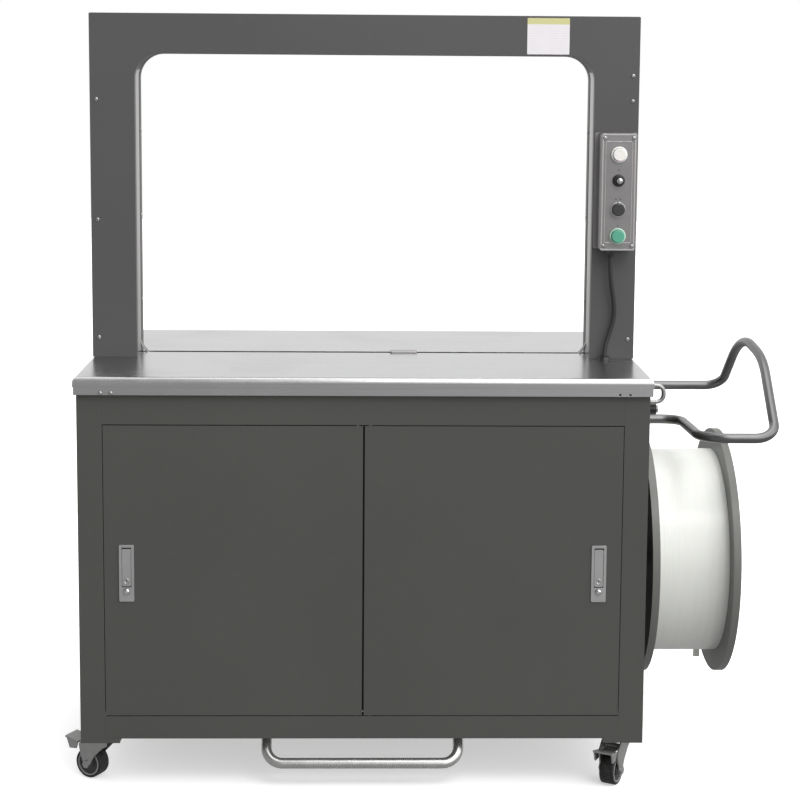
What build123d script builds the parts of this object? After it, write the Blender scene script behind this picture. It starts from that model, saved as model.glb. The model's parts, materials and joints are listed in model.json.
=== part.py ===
"""Arch-type strapping machine on a caster cabinet, with a strap reel on its right side.

Millimetres. +X is the machine's right, +Y its rear, +Z up. The pieces are drawn about the middle
of the cabinet at floor level, and written about the middle of the whole machine's floor outline.
"""
import math
import os

from build123d import *

# ---------------------------------------------------------------- overall sizes
table_width = 962.0
table_depth = 580.0
table_height = 711.0
clear_height = 531.0
beam_height = 69.0
column_width = 77.5
arch_inset = 3.25
arch_front = -66.0
arch_rear = 36.0
caster_height = 82.0
cabinet_inset = 4.5
cabinet_setback = 11.0

# ---------------------------------------------------------------- sheets and clearances
thin_sheet = 1.5
sheet = 2.0
table_sheet = 3.0
panel_gap = 0.5
door_gap = 1.5
running_gap = 0.05
side_gap = 0.5

# ---------------------------------------------------------------- table
skirt_height = 30.0
skirt_upper = 17.0
skirt_step = 1.2
table_edge_radius = 9.0
seam_gap = 0.5
slit_half_width = 8.0
slit_end_inset = 12.0
slit_lip = 20.0
skirt_screw_x = (-435.7, -418.3, 424.4, 441.4)
skirt_screw_drop = 27.0
anvil_x = 71.5
anvil_size = (49.0, 24.0, 3.0)
anvil_lift = 0.1
anvil_stem = (30.0, 4.0, 8.0)
anvil_travel = 10.0

# ---------------------------------------------------------------- cabinet
post_width = 42.0
foot_width = 66.0
foot_depth = 92.0
rail_depth = 25.0
fascia_height = 78.0
low_rail_height = 39.0
low_rail_lift = 8.0
side_rail_height = 40.0
mullion_width = 40.0
mullion_rise = 38.0

# ---------------------------------------------------------------- doors and locks
door_depth = 18.0
hinge_inset = 9.0
hinge_from_front = 5.0
hinge_pin_radius = 2.5
hinge_pin_reach = 20.0
hinge_head_radius = 2.9
hinge_head_height = 3.0
hinge_block = (20.0, 34.0)
lock_width = 25.0
lock_height = 97.0
lock_plate = 2.0
lock_cup = (19.0, 91.0, 16.0)
lock_from_edge = 38.5
lock_below_top = 251.0
lock_lever_size = (15.0, 64.0, 4.0)
lock_lever_drop = 8.0
lock_button_radius = 5.5
lock_button_drop = 80.0
lock_pin_radius = 1.5
lock_lever_swing = 35.0

# ---------------------------------------------------------------- arch
inner_corner = 42.0
outer_corner = 2.5
strip_depth = 68.0
slot_width = 6.0
channel_depth = 14.0
cover_screw_inset = 11.0
cover_screw_rise_left = (35.0, 242.5, 451.6)
cover_screw_rise_right = (34.7, 454.1, 497.9)
rim_screw_rise = (92.0, 244.0, 396.0)
rim_screw_y = 23.0
screw_head_radius = 3.6
screw_head_height = 1.8
screw_shank_radius = 2.0
guide_width = 13.0
guide_reach = 24.0
guide_curve = ((0.0, 20.0), (4.0, 11.0), (9.0, 4.0), (15.0, -1.5), (guide_reach, -7.0))
guide_depth = 3.5

# ---------------------------------------------------------------- control box
box_width = 60.0
box_height = 203.0
box_flange_width = 75.0
box_flange = 3.0
box_body_depth = 39.0
box_lid = 3.0
box_corner = 3.5
box_from_edge = 39.0
box_rise = 196.5
box_screw_inset = (5.0, 8.0)
white_rise = 166.5
toggle_rise = 122.0
black_rise = 71.5
green_rise = 25.5
button_radius = 11.0
button_proud = 8.0
button_stem_radius = 8.0
button_stem_length = 14.0
button_travel = 3.0
bezel_outer = 14.0
bezel_height = 4.0
slide_gap = 0.3
toggle_base_radius = 10.5
toggle_base_height = 6.0
toggle_ball = 5.5
toggle_lever_radius = 2.4
toggle_lever_length = 15.0
toggle_pivot_ball = 4.0

# ---------------------------------------------------------------- control cable
cable_diameter = 8.0
gland_radius = 7.5
gland_length = 14.0
bushing_radius = 11.0
bushing_height = 6.0

# ---------------------------------------------------------------- reel
flange_radius = 220.0
flange_sheet = 3.0
rim_width = 13.0
rim_thickness = 7.0
coil_radius = 183.0
coil_width = 127.0
core_radius = 100.0
core_wall = 4.0
hub_wall = 7.0
axle_radius = 16.0
axle_flange_radius = 45.0
axle_flange = 8.0
reel_side_gap = 21.0
reel_to_rail = 15.5
nut_radius = 24.0
nut_length = 16.0
nut_gap = 0.6
axle_past_nut = 3.0

# ---------------------------------------------------------------- guard rail and strap infeed
rail_diameter = 17.0
rail_rear_y = 210.0
rail_front_y = -238.0
rail_low_y = -20.0
rail_rear_drop = 93.3
rail_low_drop = 117.0
rail_front_drop = 109.4
rail_peak_y = (89.2, -59.1)
rail_peak_rise = (24.2, 1.0)
rail_peak_reach = (225.1, 233.9)
rail_rear_reach = 213.7
rail_front_reach = 222.0
rail_low_reach = 94.9
rail_bends = (35.0, 150.0, 220.0, 38.0, 49.0, 34.0)
socket_radius = 17.0
socket_length = 12.0
guide_rod_diameter = 8.0
guide_rod_reach = 68.0
guide_rod_drops = (59.0, 89.0)
guide_rod_bend = 13.0
roller_radius = 11.5
roller_length = 48.0
roller_pin_radius = 4.0
roller_from_panel = 9.0
roller_y = 16.0
roller_drop = 105.0

# ---------------------------------------------------------------- casters
caster_inset = (34.5, 53.0)
caster_plate = (62.0, 64.0, 3.0)
wheel_radius = 26.0
wheel_width = 27.0
wheel_edge = 5.0
caster_trail = 28.0
front_trail = {"left": (-0.88, 0.475), "right": (-0.48, -0.87)}
king_radius = 5.0
race_radius = 18.0
race_height = 3.5
crown_radius = 20.0
crown_sheet = 4.2
crown_gap = 0.3
fork_sheet = 2.5
fork_gap = 2.0
wheel_axle_radius = 4.0
axle_head_radius = 7.0
axle_head = 3.0
pedal_pin_radius = 3.0
pedal_barrel_radius = 6.0
pedal_pivot = (17.0, 62.0)
pedal_neck = 46.0
pedal_reach = 73.0
pedal_rise = 6.0
pedal_width = 22.0
pedal_sheet = 3.0
pedal_plate_width = 34.0
pedal_flange = 2.5
pedal_flange_bottom = 49.0

# ---------------------------------------------------------------- foot bar
foot_bar_half = 164.0
foot_bar_radius = 9.0
foot_bar_y = -270.0
foot_bar_z = 43.0
foot_bar_knee_z = 80.0
foot_bar_bend = 28.0
foot_pivot_setback = 14.0
foot_pivot_below_tray = 12.0
foot_pivot_radius = 6.0
foot_bracket = 6.0
foot_bracket_gap = 0.5

# ---------------------------------------------------------------- strapping head and drive
head_x = (-140.0, 130.0)
head_half_depth = 44.0
head_side = 8.0
head_top_drop = 14.0
head_floor_drop = 161.0
head_leg = 25.0
cam_x = 30.0
cam_drop = 91.0
cam_shaft_radius = 8.0
cam_radius = 24.0
cam_throw = 4.0
cam_width = 14.0
pulley_radius = 45.0
pulley_width = 18.0
press_size = (40.0, 12.0, 46.0)
press_top_drop = 16.0
press_gap = 0.2
press_travel = 6.0
feed_x = -90.0
feed_drop = 71.0
feed_radius = 30.0
pinch_radius = 20.0
strap_nip = 0.6
feed_shaft_radius = 6.0
roller_face = 30.0
motor_radius = 55.0
motor_length = 150.0
motor_x = -20.0
motor_y = 70.0
pool_size = (250.0, 24.0, 330.0)
pool_x = 290.0
pool_y = 130.0
electrical_size = (200.0, 90.0, 280.0)
electrical_x = -300.0
electrical_y = 150.0

# ---------------------------------------------------------------- worked out from the above
half_table = table_width / 2
half_depth = table_depth / 2
cab_x = half_table - cabinet_inset
cab_y = half_depth - cabinet_setback
frame_top = table_height - table_sheet
skirt_bottom = table_height - skirt_height
arch_x = half_table - arch_inset
clear_x = arch_x - column_width
clear_top = table_height + clear_height
arch_top = clear_top + beam_height
opening_x = cab_x - post_width
low_rail_bottom = caster_height + low_rail_lift
low_rail_top = low_rail_bottom + low_rail_height
fascia_bottom = frame_top - fascia_height
door_bottom = low_rail_top + door_gap
door_top = fascia_bottom - door_gap
door_mid = (door_bottom + door_top) / 2
door_height = door_top - door_bottom
tray_top = low_rail_top + sheet
inner_x = cab_x - thin_sheet
inner_y = cab_y - rail_depth
slit_x = clear_x - slit_end_inset + guide_reach / 2
hinge_x = door_gap + hinge_inset
hinge_y = -cab_y + hinge_from_front
lock_x = opening_x - lock_from_edge
lock_top = door_top - lock_below_top + lock_height / 2
box_x = arch_x - box_from_edge
box_bottom = table_height + box_rise
box_front = arch_front - box_flange - box_body_depth - box_lid
rail_low_z = table_height - rail_low_drop
reel_z = rail_low_z - rail_diameter / 2 - reel_to_rail - flange_radius
reel_in = cab_x + reel_side_gap
reel_out = reel_in + rim_width + coil_width
head_top = table_height - head_top_drop
head_floor = table_height - head_floor_drop
cam_z = table_height - cam_drop
feed_z = table_height - feed_drop
pinch_z = feed_z - feed_radius - pinch_radius - strap_nip

pieces = {}


def keep(name, piece):
    """Remember a finished piece under its node name."""
    pieces[name] = piece


def facing_front(y):
    """Sketch plane at depth y whose normal points at the operator (-Y); its x is X, its y is Z."""
    return Plane.XZ.offset(-y)


def facing_right(x):
    """Sketch plane at x whose normal points right (+X); its x is Y, its y is Z."""
    return Plane.YZ.offset(x)


# ================================================================ cabinet frame
with BuildPart() as corner_posts:
    for side_x in (-1, 1):
        for side_y in (-1, 1):
            with BuildSketch(Plane.XY.offset(caster_height)):
                with BuildLine():
                    corner = (side_x * cab_x, side_y * cab_y)
                    Polyline(
                        corner,
                        (side_x * opening_x, corner[1]),
                        (side_x * opening_x, side_y * (cab_y - sheet)),
                        (side_x * (cab_x - sheet), side_y * (cab_y - sheet)),
                        (side_x * (cab_x - sheet), side_y * (cab_y - post_width)),
                        (corner[0], side_y * (cab_y - post_width)),
                        close=True,
                    )
                make_face()
            extrude(amount=frame_top - caster_height)
            with BuildSketch(Plane.XY.offset(caster_height)):
                with Locations((side_x * (cab_x - foot_width / 2), side_y * (cab_y - foot_depth / 2))):
                    Rectangle(foot_width, foot_depth)
            extrude(amount=low_rail_lift)
keep("corner_posts", corner_posts.part)

pin_places = [(side * hinge_x, hinge_y) for side in (-1, 1)]

with BuildPart() as frame_rails:
    for side in (-1, 1):
        rail_y = side * (cab_y - rail_depth / 2)
        for bottom, height in ((fascia_bottom, fascia_height), (low_rail_bottom, low_rail_height)):
            with BuildSketch(facing_right(-opening_x)):
                with Locations((rail_y, bottom + height / 2)):
                    Rectangle(rail_depth, height)
                    Rectangle(rail_depth - 2 * sheet, height - 2 * sheet, mode=Mode.SUBTRACT)
            extrude(amount=2 * opening_x)
        rail_x = side * (inner_x - rail_depth / 2)
        for bottom, height in ((frame_top - side_rail_height, side_rail_height),
                               (low_rail_bottom, low_rail_height)):
            with BuildSketch(facing_front(cab_y - post_width)):
                with Locations((rail_x, bottom + height / 2)):
                    Rectangle(rail_depth, height)
                    Rectangle(rail_depth - 2 * sheet, height - 2 * sheet, mode=Mode.SUBTRACT)
            extrude(amount=2 * (cab_y - post_width))
    # holes for the door pins through the faces that meet the doors
    for face_z in (fascia_bottom, low_rail_top - sheet):
        with BuildSketch(Plane.XY.offset(face_z)):
            with Locations(*pin_places):
                Circle(hinge_pin_radius)
        extrude(amount=sheet, mode=Mode.SUBTRACT)
keep("frame_rails", frame_rails.part)

with BuildPart() as base_tray:
    with BuildSketch(Plane.XY.offset(low_rail_top)):
        Rectangle(2 * (inner_x - sheet), 2 * (inner_y - sheet))
    extrude(amount=sheet)
keep("base_tray", base_tray.part)

panel_bottom = low_rail_bottom
panel_top = frame_top
for side, label in ((-1, "left"), (1, "right")):
    with BuildPart() as side_panel:
        with BuildSketch(facing_right(side * cab_x)):
            with Locations((0, (panel_bottom + panel_top) / 2)):
                Rectangle(2 * (cab_y - post_width - panel_gap), panel_top - panel_bottom)
        extrude(amount=-side * thin_sheet)
    keep(label + "_side_panel", side_panel.part)

with BuildPart() as rear_panel:
    with BuildSketch(facing_front(cab_y)):
        with Locations((0, (low_rail_top + fascia_bottom) / 2)):
            Rectangle(2 * (opening_x - panel_gap), fascia_bottom - low_rail_top - 2 * panel_gap)
            # louvred cooling slots
            with GridLocations(0, 14, 1, 7):
                SlotOverall(120, 5, mode=Mode.SUBTRACT)
    extrude(amount=thin_sheet)
keep("rear_panel", rear_panel.part)

with BuildPart() as centre_mullion:
    mullion_top = fascia_bottom + mullion_rise
    with BuildSketch(Plane.XY.offset(tray_top)):
        with Locations((0, -inner_y + rail_depth / 2)):
            Rectangle(mullion_width, rail_depth)
            Rectangle(mullion_width - 2 * sheet, rail_depth - 2 * sheet, mode=Mode.SUBTRACT)
    extrude(amount=mullion_top - tray_top)
keep("centre_mullion", centre_mullion.part)

with BuildPart() as door_hinge_pins:
    # top pins drop through the fascia, bottom pins stand up through the low rail
    for pin_start, reach, head_start in (
        (fascia_bottom + sheet, -(sheet + door_gap + hinge_pin_reach), fascia_bottom + sheet),
        (low_rail_top - sheet, sheet + door_gap + hinge_pin_reach, low_rail_top - sheet),
    ):
        with BuildSketch(Plane.XY.offset(pin_start)):
            with Locations(*pin_places):
                Circle(hinge_pin_radius)
        extrude(amount=reach)
        with BuildSketch(Plane.XY.offset(head_start)):
            with Locations(*pin_places):
                Circle(hinge_head_radius)
        extrude(amount=-math.copysign(hinge_head_height, reach))
keep("door_hinge_pins", door_hinge_pins.part)

# ================================================================ doors with their flush locks
for side, label in ((-1, "left"), (1, "right")):
    door_inner = side * door_gap
    door_outer = side * (opening_x - door_gap + panel_gap)
    door_x = (door_inner + door_outer) / 2
    door_width = abs(door_outer - door_inner)
    cup_width, cup_height, cup_depth = lock_cup
    lock_mid = lock_top - lock_height / 2
    with BuildPart() as door:
        with BuildSketch(facing_front(-cab_y)):
            with Locations((door_x, door_mid)):
                Rectangle(door_width, door_height)
        extrude(amount=-door_depth)
        with BuildSketch(facing_front(-cab_y + thin_sheet)):
            with Locations((door_x, door_mid)):
                Rectangle(door_width - 2 * thin_sheet, door_height - 2 * thin_sheet)
        extrude(amount=-door_depth, mode=Mode.SUBTRACT)
        # hinge blocks in the two inner corners, bored for the pins
        block_width, block_height = hinge_block
        for end, inward in ((door_bottom, 1), (door_top, -1)):
            with BuildSketch(facing_front(-cab_y)):
                with Locations((side * (door_gap + block_width / 2), end + inward * block_height / 2)):
                    Rectangle(block_width, block_height)
            extrude(amount=-door_depth)
            with BuildSketch(Plane.XY.offset(end)):
                with Locations((side * hinge_x, hinge_y)):
                    Circle(hinge_pin_radius + running_gap)
            extrude(amount=inward * (hinge_pin_reach + 4), mode=Mode.SUBTRACT)
        with BuildSketch(facing_front(-cab_y)):
            with Locations((side * lock_x, lock_mid)):
                Rectangle(cup_width, cup_height)
        extrude(amount=-thin_sheet, mode=Mode.SUBTRACT)
    keep(label + "_door", door.part)

    recess_width = cup_width - 2 * thin_sheet
    recess_height = cup_height - 2 * thin_sheet
    lever_width, lever_height, lever_sheet = lock_lever_size
    lever_pin_z = lock_top - lock_height / 2 + cup_height / 2 - lock_lever_drop
    lever_pin_y = -cab_y + lever_sheet / 2 + 1
    button_z = lock_top - lock_button_drop
    with BuildPart() as lock_body:
        with BuildSketch(facing_front(-cab_y)):
            with Locations((side * lock_x, lock_mid)):
                RectangleRounded(lock_width, lock_height, 2)
        extrude(amount=lock_plate)
        with BuildSketch(facing_front(-cab_y)):
            with Locations((side * lock_x, lock_mid)):
                Rectangle(cup_width, cup_height)
        extrude(amount=-cup_depth)
        # recess for the lever, and a web below it that carries the button
        with BuildSketch(facing_front(-cab_y - lock_plate)):
            with Locations((side * lock_x, lock_mid)):
                Rectangle(recess_width, recess_height)
        extrude(amount=-(lock_plate + cup_depth - thin_sheet), mode=Mode.SUBTRACT)
        web_top = button_z + lock_button_radius + 2
        web_bottom = lock_mid - recess_height / 2
        with BuildSketch(facing_front(-cab_y - lock_plate)):
            with Locations((side * lock_x, (web_top + web_bottom) / 2)):
                Rectangle(recess_width, web_top - web_bottom)
            with Locations((side * lock_x, button_z)):
                Circle(lock_button_radius + slide_gap, mode=Mode.SUBTRACT)
        extrude(amount=-lock_plate - 6)
        with BuildSketch(facing_right(side * lock_x - cup_width / 2)):
            with Locations((lever_pin_y, lever_pin_z)):
                Circle(lock_pin_radius + running_gap)
        extrude(amount=cup_width, mode=Mode.SUBTRACT)
    keep(label + "_lock_body", lock_body.part)

    with BuildPart() as lock_lever:
        with BuildSketch(facing_front(-cab_y - lock_plate + 0.5)):
            with Locations((side * lock_x, lever_pin_z + 4 - lever_height / 2)):
                RectangleRounded(lever_width, lever_height, 2)
        extrude(amount=-lever_sheet)
        with BuildSketch(facing_right(side * lock_x - lever_width / 2)):
            with Locations((lever_pin_y, lever_pin_z)):
                Circle(3)
        extrude(amount=lever_width)
        with BuildSketch(facing_right(side * lock_x - cup_width / 2)):
            with Locations((lever_pin_y, lever_pin_z)):
                Circle(lock_pin_radius)
        extrude(amount=cup_width)
    keep(label + "_lock_lever", lock_lever.part)

    with BuildPart() as lock_button:
        with BuildSketch(facing_front(-cab_y - lock_plate - 1.5)):
            with Locations((side * lock_x, button_z)):
                Circle(lock_button_radius)
        extrude(amount=-8)
    keep(label + "_lock_button", lock_button.part)

# ================================================================ table
skirt_screw_z = table_height - skirt_screw_drop
for side, label in ((-1, "front"), (1, "rear")):
    edge_y = side * half_depth
    seam_y = side * seam_gap / 2
    lower_x = half_table - skirt_step
    lower_y = side * (half_depth - skirt_step)
    with BuildPart() as table_plate:
        with BuildSketch(Plane.XY.offset(table_height)):
            with Locations((0, (edge_y + seam_y) / 2)):
                Rectangle(table_width, half_depth - seam_gap / 2)
        extrude(amount=-skirt_upper)
        outer_edges = table_plate.edges().filter_by(Plane.XY).group_by(Axis.Z)[-1]
        rounded = [e for e in outer_edges if abs(e.center().Y - seam_y) > 1]
        fillet(rounded, table_edge_radius)
        with BuildSketch(Plane.XY.offset(table_height - skirt_upper)):
            with Locations((0, (lower_y + seam_y) / 2)):
                Rectangle(2 * lower_x, abs(lower_y - seam_y))
        extrude(amount=-(skirt_height - skirt_upper))
        # hollow from below, open along the seam
        with BuildSketch(Plane.XY.offset(table_height - table_sheet)):
            with Locations((0, (lower_y - side * table_sheet) / 2)):
                Rectangle(2 * (lower_x - table_sheet), abs(lower_y) - table_sheet)
        extrude(amount=-skirt_height, mode=Mode.SUBTRACT)
        # the strap slit, with a folded lip along it
        with BuildSketch(Plane.XY.offset(table_height)):
            Rectangle(2 * slit_x, 2 * slit_half_width)
        extrude(amount=-table_sheet, mode=Mode.SUBTRACT)
        with BuildSketch(Plane.XY.offset(table_height)):
            with Locations((0, side * (slit_half_width + table_sheet / 2))):
                Rectangle(2 * slit_x, table_sheet)
        extrude(amount=-slit_lip)
        if side < 0:
            with BuildSketch(facing_front(lower_y)):
                with Locations(*[(x, skirt_screw_z) for x in skirt_screw_x]):
                    Circle(screw_shank_radius)
            extrude(amount=-table_sheet, mode=Mode.SUBTRACT)
    keep("table_" + label + "_plate", table_plate.part)

with BuildPart() as anvil_plate:
    plate_x, plate_y, plate_z = anvil_size
    stem_x, stem_y, stem_z = anvil_stem
    with BuildSketch(Plane.XY.offset(table_height + anvil_lift)):
        with Locations((anvil_x, 0)):
            RectangleRounded(plate_x, plate_y, 3)
    extrude(amount=plate_z)
    chamfer(anvil_plate.faces().sort_by(Axis.Z)[-1].edges(), 1)
    with BuildSketch(Plane.XY.offset(table_height + anvil_lift)):
        with Locations((anvil_x, -anvil_travel / 2)):
            Rectangle(stem_x, stem_y)
    extrude(amount=-stem_z)
keep("anvil_plate", anvil_plate.part)


# ================================================================ arch
def arch_band(outer, inner, start, end):
    """The band between two outlines (half width, top, corner radius), open at the table."""
    with BuildPart() as band:
        for (half_width, top, corner), mode in ((outer, Mode.ADD), (inner, Mode.SUBTRACT)):
            with BuildSketch(facing_front(end)) as outline:
                with Locations((0, (table_height + top) / 2)):
                    Rectangle(2 * half_width, top - table_height)
                fillet(outline.vertices().group_by(Axis.Y)[-1], corner)
            extrude(amount=end - start, mode=mode)
    return band.part


def opening_outline(outward):
    """The opening's outline, moved outward by a distance."""
    return clear_x + outward, clear_top + outward, inner_corner + outward


def block_outline(inward):
    """The arch's outer outline, moved inward by a distance."""
    return arch_x - inward, arch_top - inward, outer_corner - inward


cover_screws = [(-arch_x + cover_screw_inset, table_height + rise) for rise in cover_screw_rise_left]
cover_screws += [(arch_x - cover_screw_inset, table_height + rise) for rise in cover_screw_rise_right]

shell_front = arch_front + sheet
strip_end = shell_front + strip_depth
guard_start = strip_end + slot_width
channel = opening_outline(channel_depth)
channel_back = opening_outline(channel_depth + sheet)

cover_band = arch_band(block_outline(0), opening_outline(0), arch_front, shell_front)
with BuildPart() as arch_front_cover:
    add(cover_band)
    with BuildSketch(facing_front(arch_front)):
        with Locations(*cover_screws):
            Circle(screw_shank_radius)
    extrude(amount=-sheet, mode=Mode.SUBTRACT)
keep("arch_front_cover", arch_front_cover.part)

# side walls, rear face, and a return flange that guards the rear half of the strap channel
shell_bands = [
    arch_band(block_outline(0), block_outline(sheet), shell_front, arch_rear),
    arch_band(block_outline(0), opening_outline(0), arch_rear - sheet, arch_rear),
    arch_band(opening_outline(sheet), opening_outline(0), guard_start, arch_rear),
]
with BuildPart() as arch_shell:
    for band_part in shell_bands:
        add(band_part)
    for side in (-1, 1):
        with BuildSketch(facing_right(side * clear_x)):
            with Locations(*[(rim_screw_y, table_height + rise) for rise in rim_screw_rise]):
                Circle(screw_shank_radius)
        extrude(amount=side * sheet, mode=Mode.SUBTRACT)
keep("arch_shell", arch_shell.part)

# light strip in front of the slot, and the strap channel that opens into the slot behind it
track_bands = [
    arch_band(opening_outline(sheet), opening_outline(0), shell_front, strip_end),
    arch_band(channel_back, opening_outline(0), strip_end - sheet, strip_end),
    arch_band(channel_back, channel, strip_end, arch_rear - sheet),
]
with BuildPart() as arch_track:
    for band_part in track_bands:
        add(band_part)
    # curved guides that lead the strap from the columns into the slit
    for side in (-1, 1):
        upper_line = [(side * (clear_x - inward), table_height + rise) for inward, rise in guide_curve]
        lower_line = [(x, z - guide_depth) for x, z in reversed(upper_line)]
        with BuildSketch(facing_front(guide_width / 2)):
            with BuildLine():
                Polyline(*upper_line, *lower_line, close=True)
            make_face()
        extrude(amount=guide_width)
keep("arch_track", arch_track.part)

# ================================================================ control box
box_mid = box_bottom + box_height / 2
button_rises = {"white": white_rise, "black": black_rise, "green": green_rise}
body_back = arch_front - box_flange
body_front = body_back - box_body_depth
lid_half_x = box_width / 2 - box_screw_inset[0]
lid_half_z = box_height / 2 - box_screw_inset[1]
lid_screws = [(box_x + sx * lid_half_x, box_mid + sz * lid_half_z) for sx in (-1, 1) for sz in (-1, 1)]

with BuildPart() as control_box:
    with BuildSketch(facing_front(arch_front)):
        with Locations((box_x, box_mid)):
            RectangleRounded(box_flange_width, box_height, box_corner)
    extrude(amount=box_flange)
    with BuildSketch(facing_front(body_back)):
        with Locations((box_x, box_mid)):
            RectangleRounded(box_width, box_height, box_corner)
            RectangleRounded(box_width - 2 * sheet, box_height - 2 * sheet, box_corner - sheet,
                             mode=Mode.SUBTRACT)
    extrude(amount=box_body_depth)
keep("control_box", control_box.part)

with BuildPart() as control_plate:
    with BuildSketch(facing_front(body_front)):
        with Locations((box_x, box_mid)):
            RectangleRounded(box_width, box_height, box_corner)
        with Locations(*[(box_x, box_bottom + rise) for rise in button_rises.values()]):
            Circle(button_stem_radius + slide_gap, mode=Mode.SUBTRACT)
        with Locations((box_x, box_bottom + toggle_rise)):
            Circle(toggle_pivot_ball + 1, mode=Mode.SUBTRACT)
        with Locations(*lid_screws):
            Circle(screw_shank_radius, mode=Mode.SUBTRACT)
    extrude(amount=box_lid)
keep("control_plate", control_plate.part)

with BuildPart() as control_bezels:
    with BuildSketch(facing_front(box_front)):
        with Locations(*[(box_x, box_bottom + rise) for rise in button_rises.values()]):
            Circle(bezel_outer)
            Circle(button_radius + slide_gap, mode=Mode.SUBTRACT)
    extrude(amount=bezel_height)
    with BuildSketch(facing_front(box_front)):
        with Locations((box_x, box_bottom + toggle_rise)):
            Circle(toggle_base_radius)
            Circle(toggle_pivot_ball + 1, mode=Mode.SUBTRACT)
    extrude(amount=toggle_base_height)
keep("control_bezels", control_bezels.part)

for name, rise in button_rises.items():
    with BuildPart() as push_button:
        with BuildSketch(facing_front(box_front - 0.5 - button_travel)):
            with Locations((box_x, box_bottom + rise)):
                Circle(button_radius)
        extrude(amount=button_proud - 1)
        fillet(push_button.faces().sort_by(Axis.Y)[0].edges(), 1.5)
        with BuildSketch(facing_front(box_front - 0.5 - button_travel)):
            with Locations((box_x, box_bottom + rise)):
                Circle(button_stem_radius)
        extrude(amount=-button_stem_length)
    keep(name + "_button", push_button.part)

with BuildPart() as mode_toggle:
    pivot_y = box_front - 1
    with Locations((box_x, pivot_y, box_bottom + toggle_rise)):
        Sphere(toggle_pivot_ball)
    with BuildSketch(facing_front(pivot_y)):
        with Locations((box_x, box_bottom + toggle_rise)):
            Circle(toggle_lever_radius)
    extrude(amount=toggle_lever_length)
    with Locations((box_x, pivot_y - toggle_lever_length, box_bottom + toggle_rise)):
        Sphere(toggle_ball)
keep("mode_toggle", mode_toggle.part)

# ================================================================ control cable
gland_x = box_x - 8.5
gland_y = body_back - box_body_depth / 2
bushing_x = 424.0
bushing_y = -82.0
gland_bottom = box_bottom - gland_length
bushing_top = table_height + bushing_height
cable_route = [
    (430.0, -88.5, 893.5),
    (430.0, -88.5, 862.0),
    (440.5, -80.5, 808.0),
    (439.5, -79.0, 781.0),
    (431.0, -79.8, 755.0),
    (424.0, -82.0, 733.0),
    (424.0, -82.0, 717.0),
]


def bend_radii(route):
    """The largest radius that each inner point of a cord's route leaves room for."""
    radii = []
    for before, here, after in zip(route, route[1:], route[2:]):
        run_in = Vector(*here) - Vector(*before)
        run_out = Vector(*after) - Vector(*here)
        half_turn = math.radians(run_in.get_angle(run_out)) / 2
        radii.append(0.45 * min(run_in.length, run_out.length) / math.tan(half_turn))
    return radii


cable_radii = bend_radii(cable_route)
print("cable bend radii", [round(r, 1) for r in cable_radii])

with BuildPart() as control_cable:
    with BuildLine() as cable_line:
        FilletPolyline(*cable_route, radius=cable_radii)
    with BuildSketch(Plane(cable_route[0], z_dir=cable_line.line % 0)):
        Circle(cable_diameter / 2)
    sweep()
cable_length = sum(edge.length for edge in cable_line.edges())
section = math.pi * (cable_diameter / 2) ** 2
print("cable length", round(cable_length, 1), "volume ratio",
      round(control_cable.part.volume / (section * cable_length), 4))
keep("control_cable", control_cable.part)

with BuildPart() as cable_glands:
    with BuildSketch(Plane.XY.offset(box_bottom)):
        with Locations((gland_x, gland_y)):
            RegularPolygon(gland_radius, 6)
    extrude(amount=-gland_length / 2)
    with BuildSketch(Plane.XY.offset(box_bottom - gland_length / 2)):
        with Locations((gland_x, gland_y)):
            Circle(gland_radius - 1.5)
    extrude(amount=-gland_length / 2, taper=8)
    with BuildSketch(Plane.XY.offset(table_height)):
        with Locations((bushing_x, bushing_y)):
            Circle(bushing_radius)
    extrude(amount=bushing_height, taper=20)
keep("cable_glands", cable_glands.part)

# ================================================================ strap reel
with BuildPart() as reel_axle:
    axle_end = reel_out + rim_width + nut_gap + nut_length + axle_past_nut
    with BuildSketch(facing_right(cab_x)):
        with Locations((0, reel_z)):
            Circle(axle_flange_radius)
    extrude(amount=axle_flange)
    with BuildSketch(facing_right(cab_x)):
        with Locations((0, reel_z)):
            Circle(axle_radius)
    extrude(amount=axle_end - cab_x)
    chamfer(reel_axle.edges().sort_by(Axis.X)[-1], 2)
keep("reel_axle", reel_axle.part)


def flange_disc(inner_face, outward):
    """A reel flange: thin disc with a thick rim, between the coil and the outside of its rim."""
    with BuildPart() as disc:
        with BuildSketch(facing_right(inner_face)):
            with Locations((0, reel_z)):
                Circle(flange_radius)
                Circle(axle_radius + running_gap, mode=Mode.SUBTRACT)
        extrude(amount=outward * flange_sheet)
        with BuildSketch(facing_right(inner_face)):
            with Locations((0, reel_z)):
                Circle(flange_radius)
                Circle(flange_radius - rim_thickness, mode=Mode.SUBTRACT)
        extrude(amount=outward * rim_width)
    return disc.part


coil_start = reel_in + rim_width
inner_flange = flange_disc(coil_start, -1)
with BuildPart() as reel_hub:
    add(inner_flange)
    for outer, inner, start, end in (
        (core_radius, core_radius - core_wall, coil_start, reel_out),
        (axle_radius + hub_wall, axle_radius + running_gap, reel_in, reel_out),
    ):
        with BuildSketch(facing_right(start)):
            with Locations((0, reel_z)):
                Circle(outer)
                Circle(inner, mode=Mode.SUBTRACT)
        extrude(amount=end - start)
    # spokes between the hub tube and the core
    spoke = core_radius - axle_radius - hub_wall
    with BuildSketch(facing_right(coil_start)):
        with Locations((0, reel_z)):
            with PolarLocations(core_radius - core_wall / 2 - spoke / 2, 3):
                Rectangle(spoke, 6)
    extrude(amount=reel_out - coil_start)
keep("reel_hub", reel_hub.part)

keep("reel_outer_flange", flange_disc(reel_out, 1))

with BuildPart() as strap_coil:
    with BuildSketch(facing_right(coil_start)):
        with Locations((0, reel_z)):
            Circle(coil_radius)
            Circle(core_radius, mode=Mode.SUBTRACT)
    extrude(amount=coil_width)
keep("strap_coil", strap_coil.part)

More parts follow.
